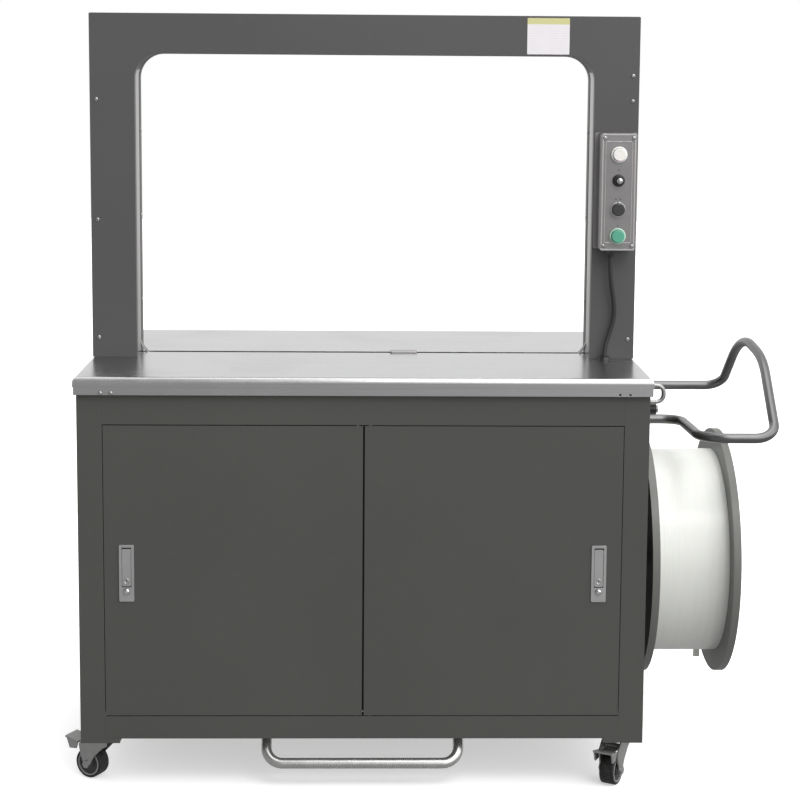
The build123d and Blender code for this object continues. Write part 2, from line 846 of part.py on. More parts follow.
with BuildPart() as reel_nut:
    with BuildSketch(facing_right(reel_out + rim_width + nut_gap)):
        with Locations((0, reel_z)):
            Circle(nut_radius)
            with PolarLocations(nut_radius, 8):
                Circle(4, mode=Mode.SUBTRACT)
            Circle(axle_radius, mode=Mode.SUBTRACT)
    extrude(amount=nut_length)
keep("reel_nut", reel_nut.part)

# ================================================================ guard rail over the reel
rear_z = table_height - rail_rear_drop
front_z = table_height - rail_front_drop
rail_points = [
    (cab_x, rail_rear_y, rear_z),
    (cab_x + rail_rear_reach, rail_rear_y, rear_z),
    (cab_x + rail_peak_reach[0], rail_peak_y[0], table_height + rail_peak_rise[0]),
    (cab_x + rail_peak_reach[1], rail_peak_y[1], table_height + rail_peak_rise[1]),
    (cab_x + rail_front_reach, rail_front_y, front_z),
    (cab_x + rail_low_reach, rail_front_y, front_z),
    (cab_x + rail_low_reach, rail_low_y, rail_low_z),
    (cab_x, rail_low_y, rail_low_z),
]
with BuildPart() as guard_rail:
    with BuildLine():
        FilletPolyline(*rail_points, radius=list(rail_bends))
    with BuildSketch(facing_right(cab_x)):
        with Locations((rail_rear_y, rear_z)):
            Circle(rail_diameter / 2)
    sweep()
keep("guard_rail", guard_rail.part)

with BuildPart() as rail_sockets:
    with BuildSketch(facing_right(cab_x)):
        with Locations((rail_rear_y, rear_z), (rail_low_y, rail_low_z)):
            Circle(socket_radius)
            Circle(rail_diameter / 2 + running_gap, mode=Mode.SUBTRACT)
    extrude(amount=socket_length)
keep("rail_sockets", rail_sockets.part)

# ================================================================ strap infeed
with BuildPart() as strap_guide:
    upper_z, lower_z = [table_height - drop for drop in guide_rod_drops]
    guide_end = cab_x + guide_rod_reach
    with BuildLine():
        FilletPolyline(
            (cab_x, 0, upper_z),
            (guide_end, 0, upper_z),
            (guide_end, 0, lower_z),
            (cab_x, 0, lower_z),
            radius=guide_rod_bend,
        )
    with BuildSketch(facing_right(cab_x)):
        with Locations((0, upper_z)):
            Circle(guide_rod_diameter / 2)
    sweep()
    # pin of the infeed roller, with its head
    roller_z = table_height - roller_drop
    roller_end = cab_x + roller_from_panel + roller_length + side_gap
    with BuildSketch(facing_right(cab_x)):
        with Locations((roller_y, roller_z)):
            Circle(roller_pin_radius)
    extrude(amount=roller_end - cab_x)
    with BuildSketch(facing_right(roller_end)):
        with Locations((roller_y, roller_z)):
            Circle(roller_pin_radius + 3)
    extrude(amount=3)
keep("strap_guide", strap_guide.part)

with BuildPart() as infeed_roller:
    with BuildSketch(facing_right(cab_x + roller_from_panel)):
        with Locations((roller_y, roller_z)):
            Circle(roller_radius)
            Circle(roller_pin_radius + running_gap, mode=Mode.SUBTRACT)
    extrude(amount=roller_length)
    fillet(infeed_roller.edges().filter_by(GeomType.CIRCLE).group_by(SortBy.RADIUS)[-1], 2)
keep("infeed_roller", infeed_roller.part)

# ================================================================ casters
caster_x = cab_x - caster_inset[0]
caster_y = cab_y - caster_inset[1]
crown_top = caster_height - caster_plate[2] - race_height - crown_gap
crown_bottom = crown_top - crown_sheet
fork_half = wheel_width / 2 + fork_gap


def caster_plane(x, y, trail):
    """A caster's own frame: origin on the floor under its swivel, x along its trail."""
    return Plane(origin=(x, y, 0), x_dir=(trail[0], trail[1], 0), z_dir=(0, 0, 1))


def side_plane(frame, start):
    """A sketch plane of a caster's frame, seen from its side: x along the trail, y up."""
    origin = frame.from_local_coords(Vector(0, start, 0))
    return Plane(origin=origin, x_dir=frame.x_dir, z_dir=-frame.y_dir)


def fork_legs(frame, trail, outline):
    """The two side plates of a fork, its axle and the axle's heads."""
    reach = fork_half + fork_sheet
    with BuildPart() as legs:
        for end in (-fork_half, reach):
            with BuildSketch(side_plane(frame, end)):
                with BuildLine():
                    Polyline(*outline, close=True)
                make_face()
            extrude(amount=fork_sheet)
        with BuildSketch(side_plane(frame, reach)):
            with Locations((trail, wheel_radius)):
                Circle(wheel_axle_radius)
        extrude(amount=2 * reach)
        for start in (reach + axle_head, -reach):
            with BuildSketch(side_plane(frame, start)):
                with Locations((trail, wheel_radius)):
                    RegularPolygon(axle_head_radius, 6)
            extrude(amount=axle_head)
    return legs.part


swivel_fork_outline = [
    (-14, crown_top),
    (30, crown_top),
    (44, 60),
    (41, 44),
    (caster_trail + 6, wheel_radius - 2),
    (caster_trail, wheel_radius - 7),
    (caster_trail - 6, wheel_radius - 2),
    (12, 42),
    (-4, 58),
    (-14, 64),
]
rigid_fork_outline = [
    (-22, caster_height - caster_plate[2]),
    (22, caster_height - caster_plate[2]),
    (17, 46),
    (7, wheel_radius - 2),
    (0, wheel_radius - 8),
    (-7, wheel_radius - 2),
    (-17, 46),
]


def wheel_piece(frame, trail):
    """A caster wheel about its axle."""
    with BuildPart() as wheel:
        with BuildSketch(side_plane(frame, wheel_width / 2)):
            with Locations((trail, wheel_radius)):
                Circle(wheel_radius)
        extrude(amount=wheel_width)
        fillet(wheel.edges().filter_by(GeomType.CIRCLE), wheel_edge)
        with BuildSketch(side_plane(frame, wheel_width / 2)):
            with Locations((trail, wheel_radius)):
                Circle(wheel_axle_radius + running_gap)
        extrude(amount=wheel_width, mode=Mode.SUBTRACT)
    return wheel.part


rear_frames = [caster_plane(side * caster_x, caster_y, (0, 1)) for side in (-1, 1)]
front_frames = {
    "left": caster_plane(-caster_x, -caster_y, front_trail["left"]),
    "right": caster_plane(caster_x, -caster_y, front_trail["right"]),
}

plate_x, plate_y, plate_z = caster_plate
rear_forks = [fork_legs(frame, 0, rigid_fork_outline) for frame in rear_frames]
with BuildPart() as caster_mounts:
    with BuildSketch(Plane.XY.offset(caster_height - plate_z)):
        with GridLocations(2 * caster_x, 2 * caster_y, 2, 2):
            Rectangle(plate_x, plate_y)
    extrude(amount=plate_z)
    # swivel race, king pin and its head on the two front plates
    for radius, bottom, top in (
        (race_radius, caster_height - plate_z - race_height, caster_height - plate_z),
        (king_radius, crown_bottom - crown_gap, caster_height - plate_z),
        (king_radius + 3, crown_bottom - crown_gap - 3, crown_bottom - crown_gap),
    ):
        with BuildSketch(Plane.XY.offset(bottom)):
            with Locations((-caster_x, -caster_y), (caster_x, -caster_y)):
                Circle(radius)
        extrude(amount=top - bottom)
    # rigid forks on the two rear plates
    for rear_fork in rear_forks:
        add(rear_fork)
keep("caster_mounts", caster_mounts.part)

for label, frame in front_frames.items():
    front_legs = fork_legs(frame, caster_trail, swivel_fork_outline)
    with BuildPart() as fork:
        with BuildSketch(frame.offset(crown_bottom)):
            Circle(crown_radius)
        extrude(amount=crown_sheet)
        add(front_legs)
        # pin across the fork that the brake pedal rocks on
        with BuildSketch(side_plane(frame, fork_half + fork_sheet)):
            with Locations(pedal_pivot):
                Circle(pedal_pin_radius)
        extrude(amount=2 * (fork_half + fork_sheet))
        with BuildSketch(frame.offset(crown_bottom)):
            Circle(king_radius + running_gap)
        extrude(amount=crown_sheet, mode=Mode.SUBTRACT)
    keep(label + "_front_fork", fork.part)

    keep(label + "_front_wheel", wheel_piece(frame, caster_trail))

    with BuildPart() as pedal:
        pivot_x, pivot_z = pedal_pivot
        arm_bottom = pivot_z - pedal_sheet / 2
        arm_top = pivot_z + pedal_sheet / 2
        with BuildSketch(side_plane(frame, pedal_width / 2)):
            with Locations(((pivot_x + pedal_neck) / 2, pivot_z)):
                Rectangle(pedal_neck - pivot_x, pedal_sheet)
            with Locations(pedal_pivot):
                Circle(pedal_barrel_radius)
        extrude(amount=pedal_width)
        with BuildSketch(side_plane(frame, pedal_plate_width / 2)):
            with BuildLine():
                Polyline(
                    (pedal_neck, arm_bottom),
                    (pedal_reach, arm_bottom + pedal_rise),
                    (pedal_reach, arm_top + pedal_rise),
                    (pedal_neck, arm_top),
                    close=True,
                )
            make_face()
        extrude(amount=pedal_plate_width)
        # side flanges turned down from the tread plate
        for start in (pedal_plate_width / 2, -pedal_plate_width / 2 + pedal_flange):
            with BuildSketch(side_plane(frame, start)):
                with BuildLine():
                    Polyline(
                        (pedal_neck + 1, arm_bottom + 1),
                        (pedal_neck + 4, pedal_flange_bottom + 1),
                        (pedal_reach - 9, pedal_flange_bottom),
                        (pedal_reach - 3, arm_bottom + pedal_rise),
                        close=True,
                    )
                make_face()
            extrude(amount=pedal_flange)
        with BuildSketch(side_plane(frame, pedal_width / 2)):
            with Locations(pedal_pivot):
                Circle(pedal_pin_radius + running_gap)
        extrude(amount=pedal_width, mode=Mode.SUBTRACT)
    keep(label + "_brake_pedal", pedal.part)

for label, frame in zip(("left", "right"), rear_frames):
    keep(label + "_rear_wheel", wheel_piece(frame, 0))

# ================================================================ foot bar
foot_pivot_y = -inner_y + foot_pivot_setback
foot_pivot_z = low_rail_top - foot_pivot_below_tray
bracket_x = foot_bar_half + foot_bar_radius + foot_bracket_gap
with BuildPart() as foot_bar:
    with BuildLine() as bar_line:
        FilletPolyline(
            (-foot_bar_half, foot_pivot_y, foot_pivot_z),
            (-foot_bar_half, foot_pivot_y, foot_bar_knee_z),
            (-foot_bar_half, foot_bar_y, foot_bar_z),
            (foot_bar_half, foot_bar_y, foot_bar_z),
            (foot_bar_half, foot_pivot_y, foot_bar_knee_z),
            (foot_bar_half, foot_pivot_y, foot_pivot_z),
            radius=[20, foot_bar_bend, foot_bar_bend, 20],
        )
    with BuildSketch(Plane.XY.offset(foot_pivot_z)):
        with Locations((-foot_bar_half, foot_pivot_y)):
            Circle(foot_bar_radius)
    sweep()
    pivot_half = bracket_x + foot_bracket + 4
    with BuildSketch(facing_right(-pivot_half)):
        with Locations((foot_pivot_y, foot_pivot_z)):
            Circle(foot_pivot_radius)
    extrude(amount=2 * pivot_half)
keep("foot_bar", foot_bar.part)

with BuildPart() as foot_bar_brackets:
    bracket_depth = 2 * foot_pivot_setback
    bracket_bottom = foot_pivot_z - foot_pivot_radius - 6
    for start in (bracket_x, -bracket_x - foot_bracket):
        with BuildSketch(facing_right(start)):
            with Locations((-inner_y + bracket_depth / 2, (bracket_bottom + low_rail_top) / 2)):
                Rectangle(bracket_depth, low_rail_top - bracket_bottom)
            with Locations((foot_pivot_y, foot_pivot_z)):
                Circle(foot_pivot_radius + running_gap, mode=Mode.SUBTRACT)
        extrude(amount=foot_bracket)
keep("foot_bar_brackets", foot_bar_brackets.part)

# ================================================================ strapping head under the slit
head_width = head_x[1] - head_x[0]
head_mid = (head_x[0] + head_x[1]) / 2
press_x, press_y, press_z = press_size
press_top = table_height - press_top_drop
with BuildPart() as head_frame:
    with BuildSketch(Plane.XY.offset(head_floor)):
        with Locations((head_mid, 0)):
            Rectangle(head_width, 2 * head_half_depth)
    extrude(amount=head_side)
    for start in (-head_half_depth, head_half_depth - head_side):
        with BuildSketch(facing_front(start + head_side)):
            with Locations((head_mid, (head_floor + head_top) / 2)):
                Rectangle(head_width, head_top - head_floor)
            with Locations((cam_x, cam_z)):
                Circle(cam_shaft_radius + running_gap, mode=Mode.SUBTRACT)
            with Locations((feed_x, feed_z), (feed_x, pinch_z)):
                Circle(feed_shaft_radius + running_gap, mode=Mode.SUBTRACT)
        extrude(amount=head_side)
    # guide blocks either side of the press
    guide_inner = press_y / 2 + press_gap
    guide_outer = head_half_depth - head_side
    for start in (-guide_outer, guide_inner):
        with BuildSketch(facing_front(start + guide_outer - guide_inner)):
            with Locations((anvil_x + 10, press_top - press_z / 2 - 6)):
                Rectangle(press_x, press_z / 2)
        extrude(amount=guide_outer - guide_inner)
    # four legs down to the tray
    with BuildSketch(Plane.XY.offset(tray_top)):
        with Locations((head_mid, 0)):
            with GridLocations(head_width - head_leg, 2 * head_half_depth - head_leg, 2, 2):
                Rectangle(head_leg, head_leg)
    extrude(amount=head_floor - tray_top)
keep("head_frame", head_frame.part)

with BuildPart() as cam_shaft:
    with BuildSketch(facing_front(head_half_depth + pulley_width + 6)):
        with Locations((cam_x, cam_z)):
            Circle(cam_shaft_radius)
    extrude(amount=2 * head_half_depth + pulley_width + 12)
    for index, start in enumerate((-24, -cam_width / 2, 10)):
        with BuildSketch(facing_front(start + cam_width)):
            swing = math.radians(120 * index)
            with Locations((cam_x + cam_throw * math.cos(swing), cam_z + cam_throw * math.sin(swing))):
                Circle(cam_radius)
        extrude(amount=cam_width)
    with BuildSketch(facing_front(head_half_depth + pulley_width + 2)):
        with Locations((cam_x, cam_z)):
            Circle(pulley_radius)
    extrude(amount=pulley_width)
keep("cam_shaft", cam_shaft.part)

with BuildPart() as seal_press:
    with BuildSketch(Plane.XY.offset(press_top)):
        with Locations((anvil_x + 10, 0)):
            Rectangle(press_x, press_y)
    extrude(amount=-press_z)
keep("seal_press", seal_press.part)

for name, centre_z, radius in (("feed_roller", feed_z, feed_radius), ("pinch_roller", pinch_z, pinch_radius)):
    with BuildPart() as roller:
        with BuildSketch(facing_front(roller_face / 2)):
            with Locations((feed_x, centre_z)):
                Circle(radius)
        extrude(amount=roller_face)
        with BuildSketch(facing_front(head_half_depth + 4)):
            with Locations((feed_x, centre_z)):
                Circle(feed_shaft_radius)
        extrude(amount=2 * (head_half_depth + 4))
    keep(name, roller.part)

with BuildPart() as drive_motor:
    motor_z = tray_top + motor_radius + 12
    with BuildSketch(facing_front(motor_y + motor_length)):
        with Locations((motor_x, motor_z)):
            Circle(motor_radius)
            with PolarLocations(motor_radius, 24):
                Rectangle(5, 3)
    extrude(amount=motor_length)
    with BuildSketch(facing_front(motor_y + motor_length - 20)):
        with Locations((motor_x, (motor_z + tray_top) / 2)):
            Rectangle(2 * motor_radius, motor_z - tray_top)
    extrude(amount=motor_length - 40)
keep("drive_motor", drive_motor.part)

with BuildPart() as strap_pool:
    pool_x_size, pool_y_size, pool_z_size = pool_size
    with BuildSketch(facing_front(pool_y + pool_y_size)):
        with Locations((pool_x, tray_top + pool_z_size / 2)):
            Rectangle(pool_x_size, pool_z_size)
    extrude(amount=pool_y_size)
    with BuildSketch(facing_front(pool_y + pool_y_size - sheet)):
        with Locations((pool_x, tray_top + pool_z_size / 2)):
            Rectangle(pool_x_size - 2 * sheet, pool_z_size - 2 * sheet)
    extrude(amount=pool_y_size - 2 * sheet, mode=Mode.SUBTRACT)
    with BuildSketch(Plane.XY.offset(tray_top + pool_z_size)):
        with Locations((pool_x, pool_y + pool_y_size / 2)):
            Rectangle(pool_x_size / 2, pool_y_size - 2 * sheet)
    extrude(amount=-sheet, mode=Mode.SUBTRACT)
keep("strap_pool", strap_pool.part)

with BuildPart() as electrical_box:
    case_x, case_y, case_z = electrical_size
    with BuildSketch(Plane.XY.offset(tray_top)):
        with Locations((electrical_x, electrical_y)):
            RectangleRounded(case_x, case_y, 4)
    extrude(amount=case_z)
keep("electrical_box", electrical_box.part)

# ================================================================ screws
with BuildPart() as casing_screws:
    front_screws = [(x, arch_front, z) for x, z in cover_screws]
    front_screws += [(x, -half_depth + skirt_step, skirt_screw_z) for x in skirt_screw_x[:2]]
    front_screws += [(x, box_front, z) for x, z in lid_screws]
    for x, y, z in front_screws:
        with BuildSketch(facing_front(y)):
            with Locations((x, z)):
                Circle(screw_head_radius)
        extrude(amount=screw_head_height, taper=20)
        with BuildSketch(facing_front(y)):
            with Locations((x, z)):
                Circle(screw_shank_radius)
        extrude(amount=-sheet)
    for side in (-1, 1):
        for rise in rim_screw_rise:
            with BuildSketch(facing_right(side * clear_x)):
                with Locations((rim_screw_y, table_height + rise)):
                    Circle(screw_head_radius)
            extrude(amount=-side * screw_head_height, taper=20)
            with BuildSketch(facing_right(side * clear_x)):
                with Locations((rim_screw_y, table_height + rise)):
                    Circle(screw_shank_radius)
            extrude(amount=side * sheet)
keep("casing_screws", casing_screws.part)

# ================================================================ place on the floor and write
os.makedirs("parts", exist_ok=True)
boxes = [piece.bounding_box() for piece in pieces.values()]
low = [min(box.min.X for box in boxes), min(box.min.Y for box in boxes), min(box.min.Z for box in boxes)]
high = [max(box.max.X for box in boxes), max(box.max.Y for box in boxes), max(box.max.Z for box in boxes)]
origin = ((low[0] + high[0]) / 2, (low[1] + high[1]) / 2, 0.0)
print("cabinet middle sits at", [round(-value, 4) for value in origin])
print("overall size", [round(b - a, 2) for a, b in zip(low, high)], "nodes", len(pieces))
for name, piece in pieces.items():
    placed = piece.moved(Location((-origin[0], -origin[1], -origin[2])))
    placed.label = name
    export_step(placed, os.path.join("parts", name + ".step"))
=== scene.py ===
"""Looks of the arch strapping machine: finishes, hardware, wound strap, casters and light."""
import json
import math

import bmesh
import bpy
from mathutils import Matrix, Vector


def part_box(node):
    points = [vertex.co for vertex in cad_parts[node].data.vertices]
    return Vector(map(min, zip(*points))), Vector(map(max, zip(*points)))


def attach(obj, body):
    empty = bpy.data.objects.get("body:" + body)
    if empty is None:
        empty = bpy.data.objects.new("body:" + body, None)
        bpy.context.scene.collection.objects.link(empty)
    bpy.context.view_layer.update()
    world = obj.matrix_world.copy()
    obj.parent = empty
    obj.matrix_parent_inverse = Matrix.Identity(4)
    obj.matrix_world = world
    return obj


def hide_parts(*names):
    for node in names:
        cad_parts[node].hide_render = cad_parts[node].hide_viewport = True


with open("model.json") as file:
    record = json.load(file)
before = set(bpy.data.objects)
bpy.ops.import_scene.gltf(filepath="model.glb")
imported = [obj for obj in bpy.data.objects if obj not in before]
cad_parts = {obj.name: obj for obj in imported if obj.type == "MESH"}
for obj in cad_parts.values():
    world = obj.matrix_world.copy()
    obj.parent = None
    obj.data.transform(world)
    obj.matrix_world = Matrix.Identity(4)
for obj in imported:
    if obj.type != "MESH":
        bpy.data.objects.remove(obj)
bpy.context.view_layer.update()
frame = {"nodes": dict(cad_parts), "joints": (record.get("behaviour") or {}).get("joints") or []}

MM = 0.001
nodes = frame["nodes"]
joints = {joint["name"]: joint for joint in frame["joints"]}


# ---------------------------------------- shader maths
class Tone:
    """A value or colour in a finish; arithmetic on it adds Math nodes."""

    def __init__(self, finish, socket):
        self.finish = finish
        self.socket = socket

    def _math(self, operation, first, second):
        settings = {"operation": operation}
        return self.finish.node("ShaderNodeMath", settings, {0: first, 1: second})

    def __add__(self, other):
        return self._math("ADD", self, other)

    def __radd__(self, other):
        return self._math("ADD", other, self)

    def __sub__(self, other):
        return self._math("SUBTRACT", self, other)

    def __rsub__(self, other):
        return self._math("SUBTRACT", other, self)

    def __mul__(self, other):
        return self._math("MULTIPLY", self, other)

    def __rmul__(self, other):
        return self._math("MULTIPLY", other, self)

    def __gt__(self, other):
        return self._math("GREATER_THAN", self, other)

    def __lt__(self, other):
        return self._math("LESS_THAN", self, other)

    def wave(self):
        """Sine of the value."""
        return self._math("SINE", self, 0.0)

    def step(self, low, high):
        """0 below low, 1 above high, smooth between."""
        settings = {"interpolation_type": "SMOOTHSTEP"}
        values = {"Value": self, "From Min": low, "From Max": high}
        return self.finish.node("ShaderNodeMapRange", settings, values)


class Finish:
    """One material: its node tree, a Principled shader, and the place on the piece."""

    def __init__(self, name, **fixed):
        self.material = bpy.data.materials.new(name)
        self.material.use_nodes = True
        self.tree = self.material.node_tree
        self.tree.nodes.clear()
        self.shader = self.tree.nodes.new("ShaderNodeBsdfPrincipled")
        output = self.tree.nodes.new("ShaderNodeOutputMaterial")
        self.tree.links.new(self.shader.outputs[0], output.inputs["Surface"])
        for socket, value in fixed.items():
            self.shader.inputs[socket.replace("_", " ")].default_value = value
        self.place = self.node("ShaderNodeTexCoord", {}, {}, "Object")

    def node(self, kind, settings, values, out=0):
        """Add a node: its settings first, then the values or links of its sockets."""
        made = self.tree.nodes.new(kind)
        for name, value in settings.items():
            setattr(made, name, value)
        for name, value in values.items():
            self.feed(made.inputs[name], value)
        return Tone(self, made.outputs[out])

    def feed(self, socket, value):
        """Set a socket or link a tone to it."""
        if isinstance(value, Tone):
            self.tree.links.new(value.socket, socket)
        elif isinstance(value, tuple) and len(value) == 3 and socket.type == "RGBA":
            socket.default_value = (*value, 1.0)
        else:
            socket.default_value = value

    def set(self, **tones):
        """Feed the shader's sockets."""
        for socket, value in tones.items():
            self.feed(self.shader.inputs[socket.replace("_", " ")], value)

    def stretched(self, x, y, z):
        """The place, scaled along each axis."""
        values = {"Vector": self.place, "Scale": (x, y, z)}
        return self.node("ShaderNodeMapping", {}, values)

    def noise(self, size, detail=3.0, roughness=0.55, place=None):
        """Noise whose grain is about a given size in metres."""
        values = {"Vector": place or self.place, "Scale": 1.0 / size,
                  "Detail": detail, "Roughness": roughness}
        return self.node("ShaderNodeTexNoise", {}, values)

    def mix(self, share, first, second):
        """Colour mix; the numbers are the Mix node's colour sockets."""
        values = {0: share, 6: first, 7: second}
        return self.node("ShaderNodeMix", {"data_type": "RGBA"}, values, 2)

    def axis(self, name):
        """One coordinate of the place, in metres."""
        return self.node("ShaderNodeSeparateXYZ", {}, {0: self.place}, name)

    def bump(self, height, depth, strength=1.0, edge=0.0):
        """Relief of a given depth in metres, over an edge softened by a radius."""
        values = {"Height": height, "Distance": depth, "Strength": strength}
        if edge:
            values["Normal"] = self.node("ShaderNodeBevel", {"samples": 4}, {"Radius": edge})
        self.set(Normal=self.node("ShaderNodeBump", {}, values))


def shade(colour, factor):
    """A colour made lighter or darker."""
    return tuple(min(channel * factor, 1.0) for channel in colour)


# ---------------------------------------- finishes
ORANGE_PEEL = 1.4 * MM
HAIRLINE = 900.0      # hairlines per metre, across the grain
HAIR_RUN = 4.0        # how often a hairline starts anew per metre, along it


def powder_coat(name, colour, roughness=0.46, edge=1.0 * MM):
    """Baked powder coat: fine orange peel, soft cloudiness, a few rubbed patches."""
    finish = Finish(name, Metallic=0.0, Specular_IOR_Level=0.42)
    cloud = finish.noise(0.35, 2.0)
    rub = finish.noise(0.03, 5.0, 0.7).step(0.56, 0.8)
    peel = finish.noise(ORANGE_PEEL, 2.0)
    body = finish.mix(cloud, shade(colour, 0.90), shade(colour, 1.12))
    finish.set(Base_Color=finish.mix(rub * 0.18, body, shade(colour, 1.5)))
    uneven = (cloud - 0.5) * 0.12 + (peel - 0.5) * 0.10
    finish.set(Roughness=roughness + uneven - rub * 0.05)
    finish.bump(peel, 0.06 * MM, 0.35, edge)
    return finish.material


def brushed(name, colour, roughness, grain, edge=0.6 * MM):
    """Brushed sheet metal with hairlines along one axis, and faint wiping marks."""
    finish = Finish(name, Metallic=1.0)
    fine = [HAIR_RUN if axis == grain else HAIRLINE for axis in "xyz"]
    broad = [1.5 if axis == grain else 45.0 for axis in "xyz"]
    hair = finish.noise(1.0, 4.0, 0.6, finish.stretched(*fine))
    wide = finish.noise(1.0, 2.0, 0.5, finish.stretched(*broad))
    smear = finish.noise(0.18, 4.0, 0.6).step(0.45, 0.75)
    streaks = hair * 0.6 + wide * 0.4
    finish.set(Base_Color=finish.mix(streaks, shade(colour, 0.86), shade(colour, 1.10)))
    finish.set(Roughness=roughness + (hair - 0.5) * 0.16 + smear * 0.07)
    finish.bump(hair, 0.02 * MM, 0.5, edge)
    return finish.material


def plated(name, colour, roughness, edge=0.4 * MM):
    """Zinc or nickel plate: cloudy, slightly patchy, with small handling marks."""
    finish = Finish(name, Metallic=1.0)
    cells = {"Vector": finish.place, "Scale": 260.0}
    spangle = finish.node("ShaderNodeTexVoronoi", {}, cells, "Color")
    grey = finish.node("ShaderNodeRGBToBW", {}, {0: spangle})
    cloud = finish.noise(0.02, 4.0)
    marks = finish.noise(1.5 * MM, 3.0, 0.7).step(0.6, 0.78)
    patches = grey * 0.35 + cloud * 0.65
    finish.set(Base_Color=finish.mix(patches, shade(colour, 0.8), shade(colour, 1.15)))
    finish.set(Roughness=roughness + (cloud - 0.5) * 0.2 + marks * 0.12)
    finish.bump(marks + cloud, 0.03 * MM, 0.4, edge)
    return finish.material


def moulded(name, colour, roughness, grain=0.5 * MM, depth=0.03 * MM, **fixed):
    """Moulded plastic or rubber with a fine pebble grain and slight tone change."""
    finish = Finish(name, Metallic=0.0, **fixed)
    pebble = finish.noise(grain, 2.0)
    cloud = finish.noise(0.012, 3.0)
    finish.set(Base_Color=finish.mix(cloud, shade(colour, 0.85), shade(colour, 1.15)))
    finish.set(Roughness=roughness + (pebble - 0.5) * 0.12 + (cloud - 0.5) * 0.1)
    finish.bump(pebble, depth, 0.5, 0.4 * MM)
    return finish.material


def arch_lining(paint, steel, steel_top, steel_front, steel_rear):
    """Arch opening: painted rim and corners, with a bare steel strip down each column."""
    finish = Finish("arch_lining")
    depth = finish.axis("Y")
    bare = (depth > steel_front) * (depth < steel_rear) * (finish.axis("Z") < steel_top)
    hair = finish.noise(1.0, 4.0, 0.6, finish.stretched(HAIRLINE, HAIRLINE, HAIR_RUN))
    peel = finish.noise(ORANGE_PEEL, 2.0)
    # the bare steel is painted lighter towards the rear of the opening: painted light from the
    # bright studio behind the machine
    painted_light_to_rear = (depth - steel_front) * (1.0 / (steel_rear - steel_front))
    metal = finish.mix(hair * 0.4 + painted_light_to_rear * 0.5, shade(steel, 0.7), shade(steel, 1.25))
    # the rim colour comes in already darkened below the arch paint: painted shade inside the
    # opening
    coat = finish.mix(finish.noise(0.35, 2.0), shade(paint, 0.90), shade(paint, 1.12))
    finish.set(Base_Color=finish.mix(bare, coat, metal), Metallic=bare)
    finish.set(Roughness=0.46 - bare * 0.12 + (hair - 0.5) * 0.12)
    finish.bump(hair * bare + peel * (1 - bare), 0.04 * MM, 0.35, 0.8 * MM)
    return finish.material


def satin_metal(name, colour, roughness, grain=0.9 * MM):
    """Cast or pressed metal with a dull satin face: fine grain, soft clouds, rubbed high spots."""
    finish = Finish(name, Metallic=0.85)
    fine = finish.noise(grain, 3.0)
    cloud = finish.noise(0.03, 3.0)
    rub = finish.noise(0.008, 4.0, 0.7).step(0.58, 0.78)
    patches = cloud * 0.7 + rub * 0.3
    finish.set(Base_Color=finish.mix(patches, shade(colour, 0.88), shade(colour, 1.14)))
    finish.set(Roughness=roughness + (fine - 0.5) * 0.12 + (cloud - 0.5) * 0.10)
    finish.bump(fine, 0.02 * MM, 0.4, 0.5 * MM)
    return finish.material


def tyre_rubber():
    """Dusty black rubber with fine pores."""
    finish = Finish("tyre_rubber", Specular_IOR_Level=0.35)
    dust = finish.noise(6 * MM, 4.0, 0.65)
    pores = finish.noise(0.6 * MM, 2.0)
    dusty = dust.step(0.4, 0.75)
    finish.set(Base_Color=finish.mix(dusty, (0.012, 0.012, 0.012), (0.05, 0.048, 0.045)))
    finish.set(Roughness=0.62 + (pores - 0.5) * 0.2)
    finish.bump(pores, 0.05 * MM, 0.6)
    return finish.material


EMBOSSING = 900.0     # embossed cells per metre of strap


def wound_strap(low_x, strap_width):
    """Milky plastic strap wound in layers: bands side by side and faint crossing turns."""
    finish = Finish("wound_strap", Subsurface_Weight=0.12, Subsurface_Scale=0.01,
                    Coat_Weight=0.15)
    across = (finish.axis("X") - low_x) * (2 * math.pi / strap_width)
    drift = finish.noise(0.07, 2.0)
    bands = (across + drift * 1.5).wave() * 0.5 + 0.5
    layers = finish.noise(1.0, 3.0, 0.6, finish.stretched(30.0, 4.0, 4.0))
    weave = finish.node("ShaderNodeTexVoronoi", {"distance": "MANHATTAN"},
                        {"Vector": finish.place, "Scale": EMBOSSING}, "Distance")
    tint = bands * 0.12 + layers * 0.88
    finish.set(Base_Color=finish.mix(tint, (0.74, 0.75, 0.705), (0.85, 0.855, 0.83)))
    finish.set(Roughness=0.34 + (layers - 0.5) * 0.16)
    finish.bump(weave * 0.4 + bands * 0.6, 0.03 * MM, 0.15)
    return finish.material


RULE_PITCH = 4.2 * MM


def blank_label(top_z, band):
    """Paper label: a yellow band over white with faint grey rules."""
    finish = Finish("blank_label", Coat_Weight=0.3)
    down = top_z - finish.axis("Z")
    rules = (down * (2 * math.pi / RULE_PITCH)).wave().step(0.80, 0.98)
    inside = finish.noise(0.02, 1.0).step(0.40, 0.48)
    paper = finish.mix(rules * inside * 0.25, (0.80, 0.77, 0.80), (0.45, 0.45, 0.46))
    finish.set(Base_Color=finish.mix(down > band, (0.61, 0.59, 0.28), paper))
    finish.set(Roughness=0.35 + finish.noise(0.01, 2.0) * 0.15)
    return finish.material


def studio_floor():
    """Pale matt studio floor that glows a little, so that shadows on it stay light."""
    finish = Finish("studio_floor", Specular_IOR_Level=0.1, Emission_Strength=0.47)
    cloud = finish.noise(0.9, 2.0)
    finish.set(Base_Color=finish.mix(cloud, (0.86, 0.86, 0.86), (0.90, 0.90, 0.90)),
               Emission_Color=finish.mix(cloud, (0.98, 0.98, 0.98), (1.0, 1.0, 1.0)),
               Roughness=0.8 + cloud * 0.1)
    return finish.material


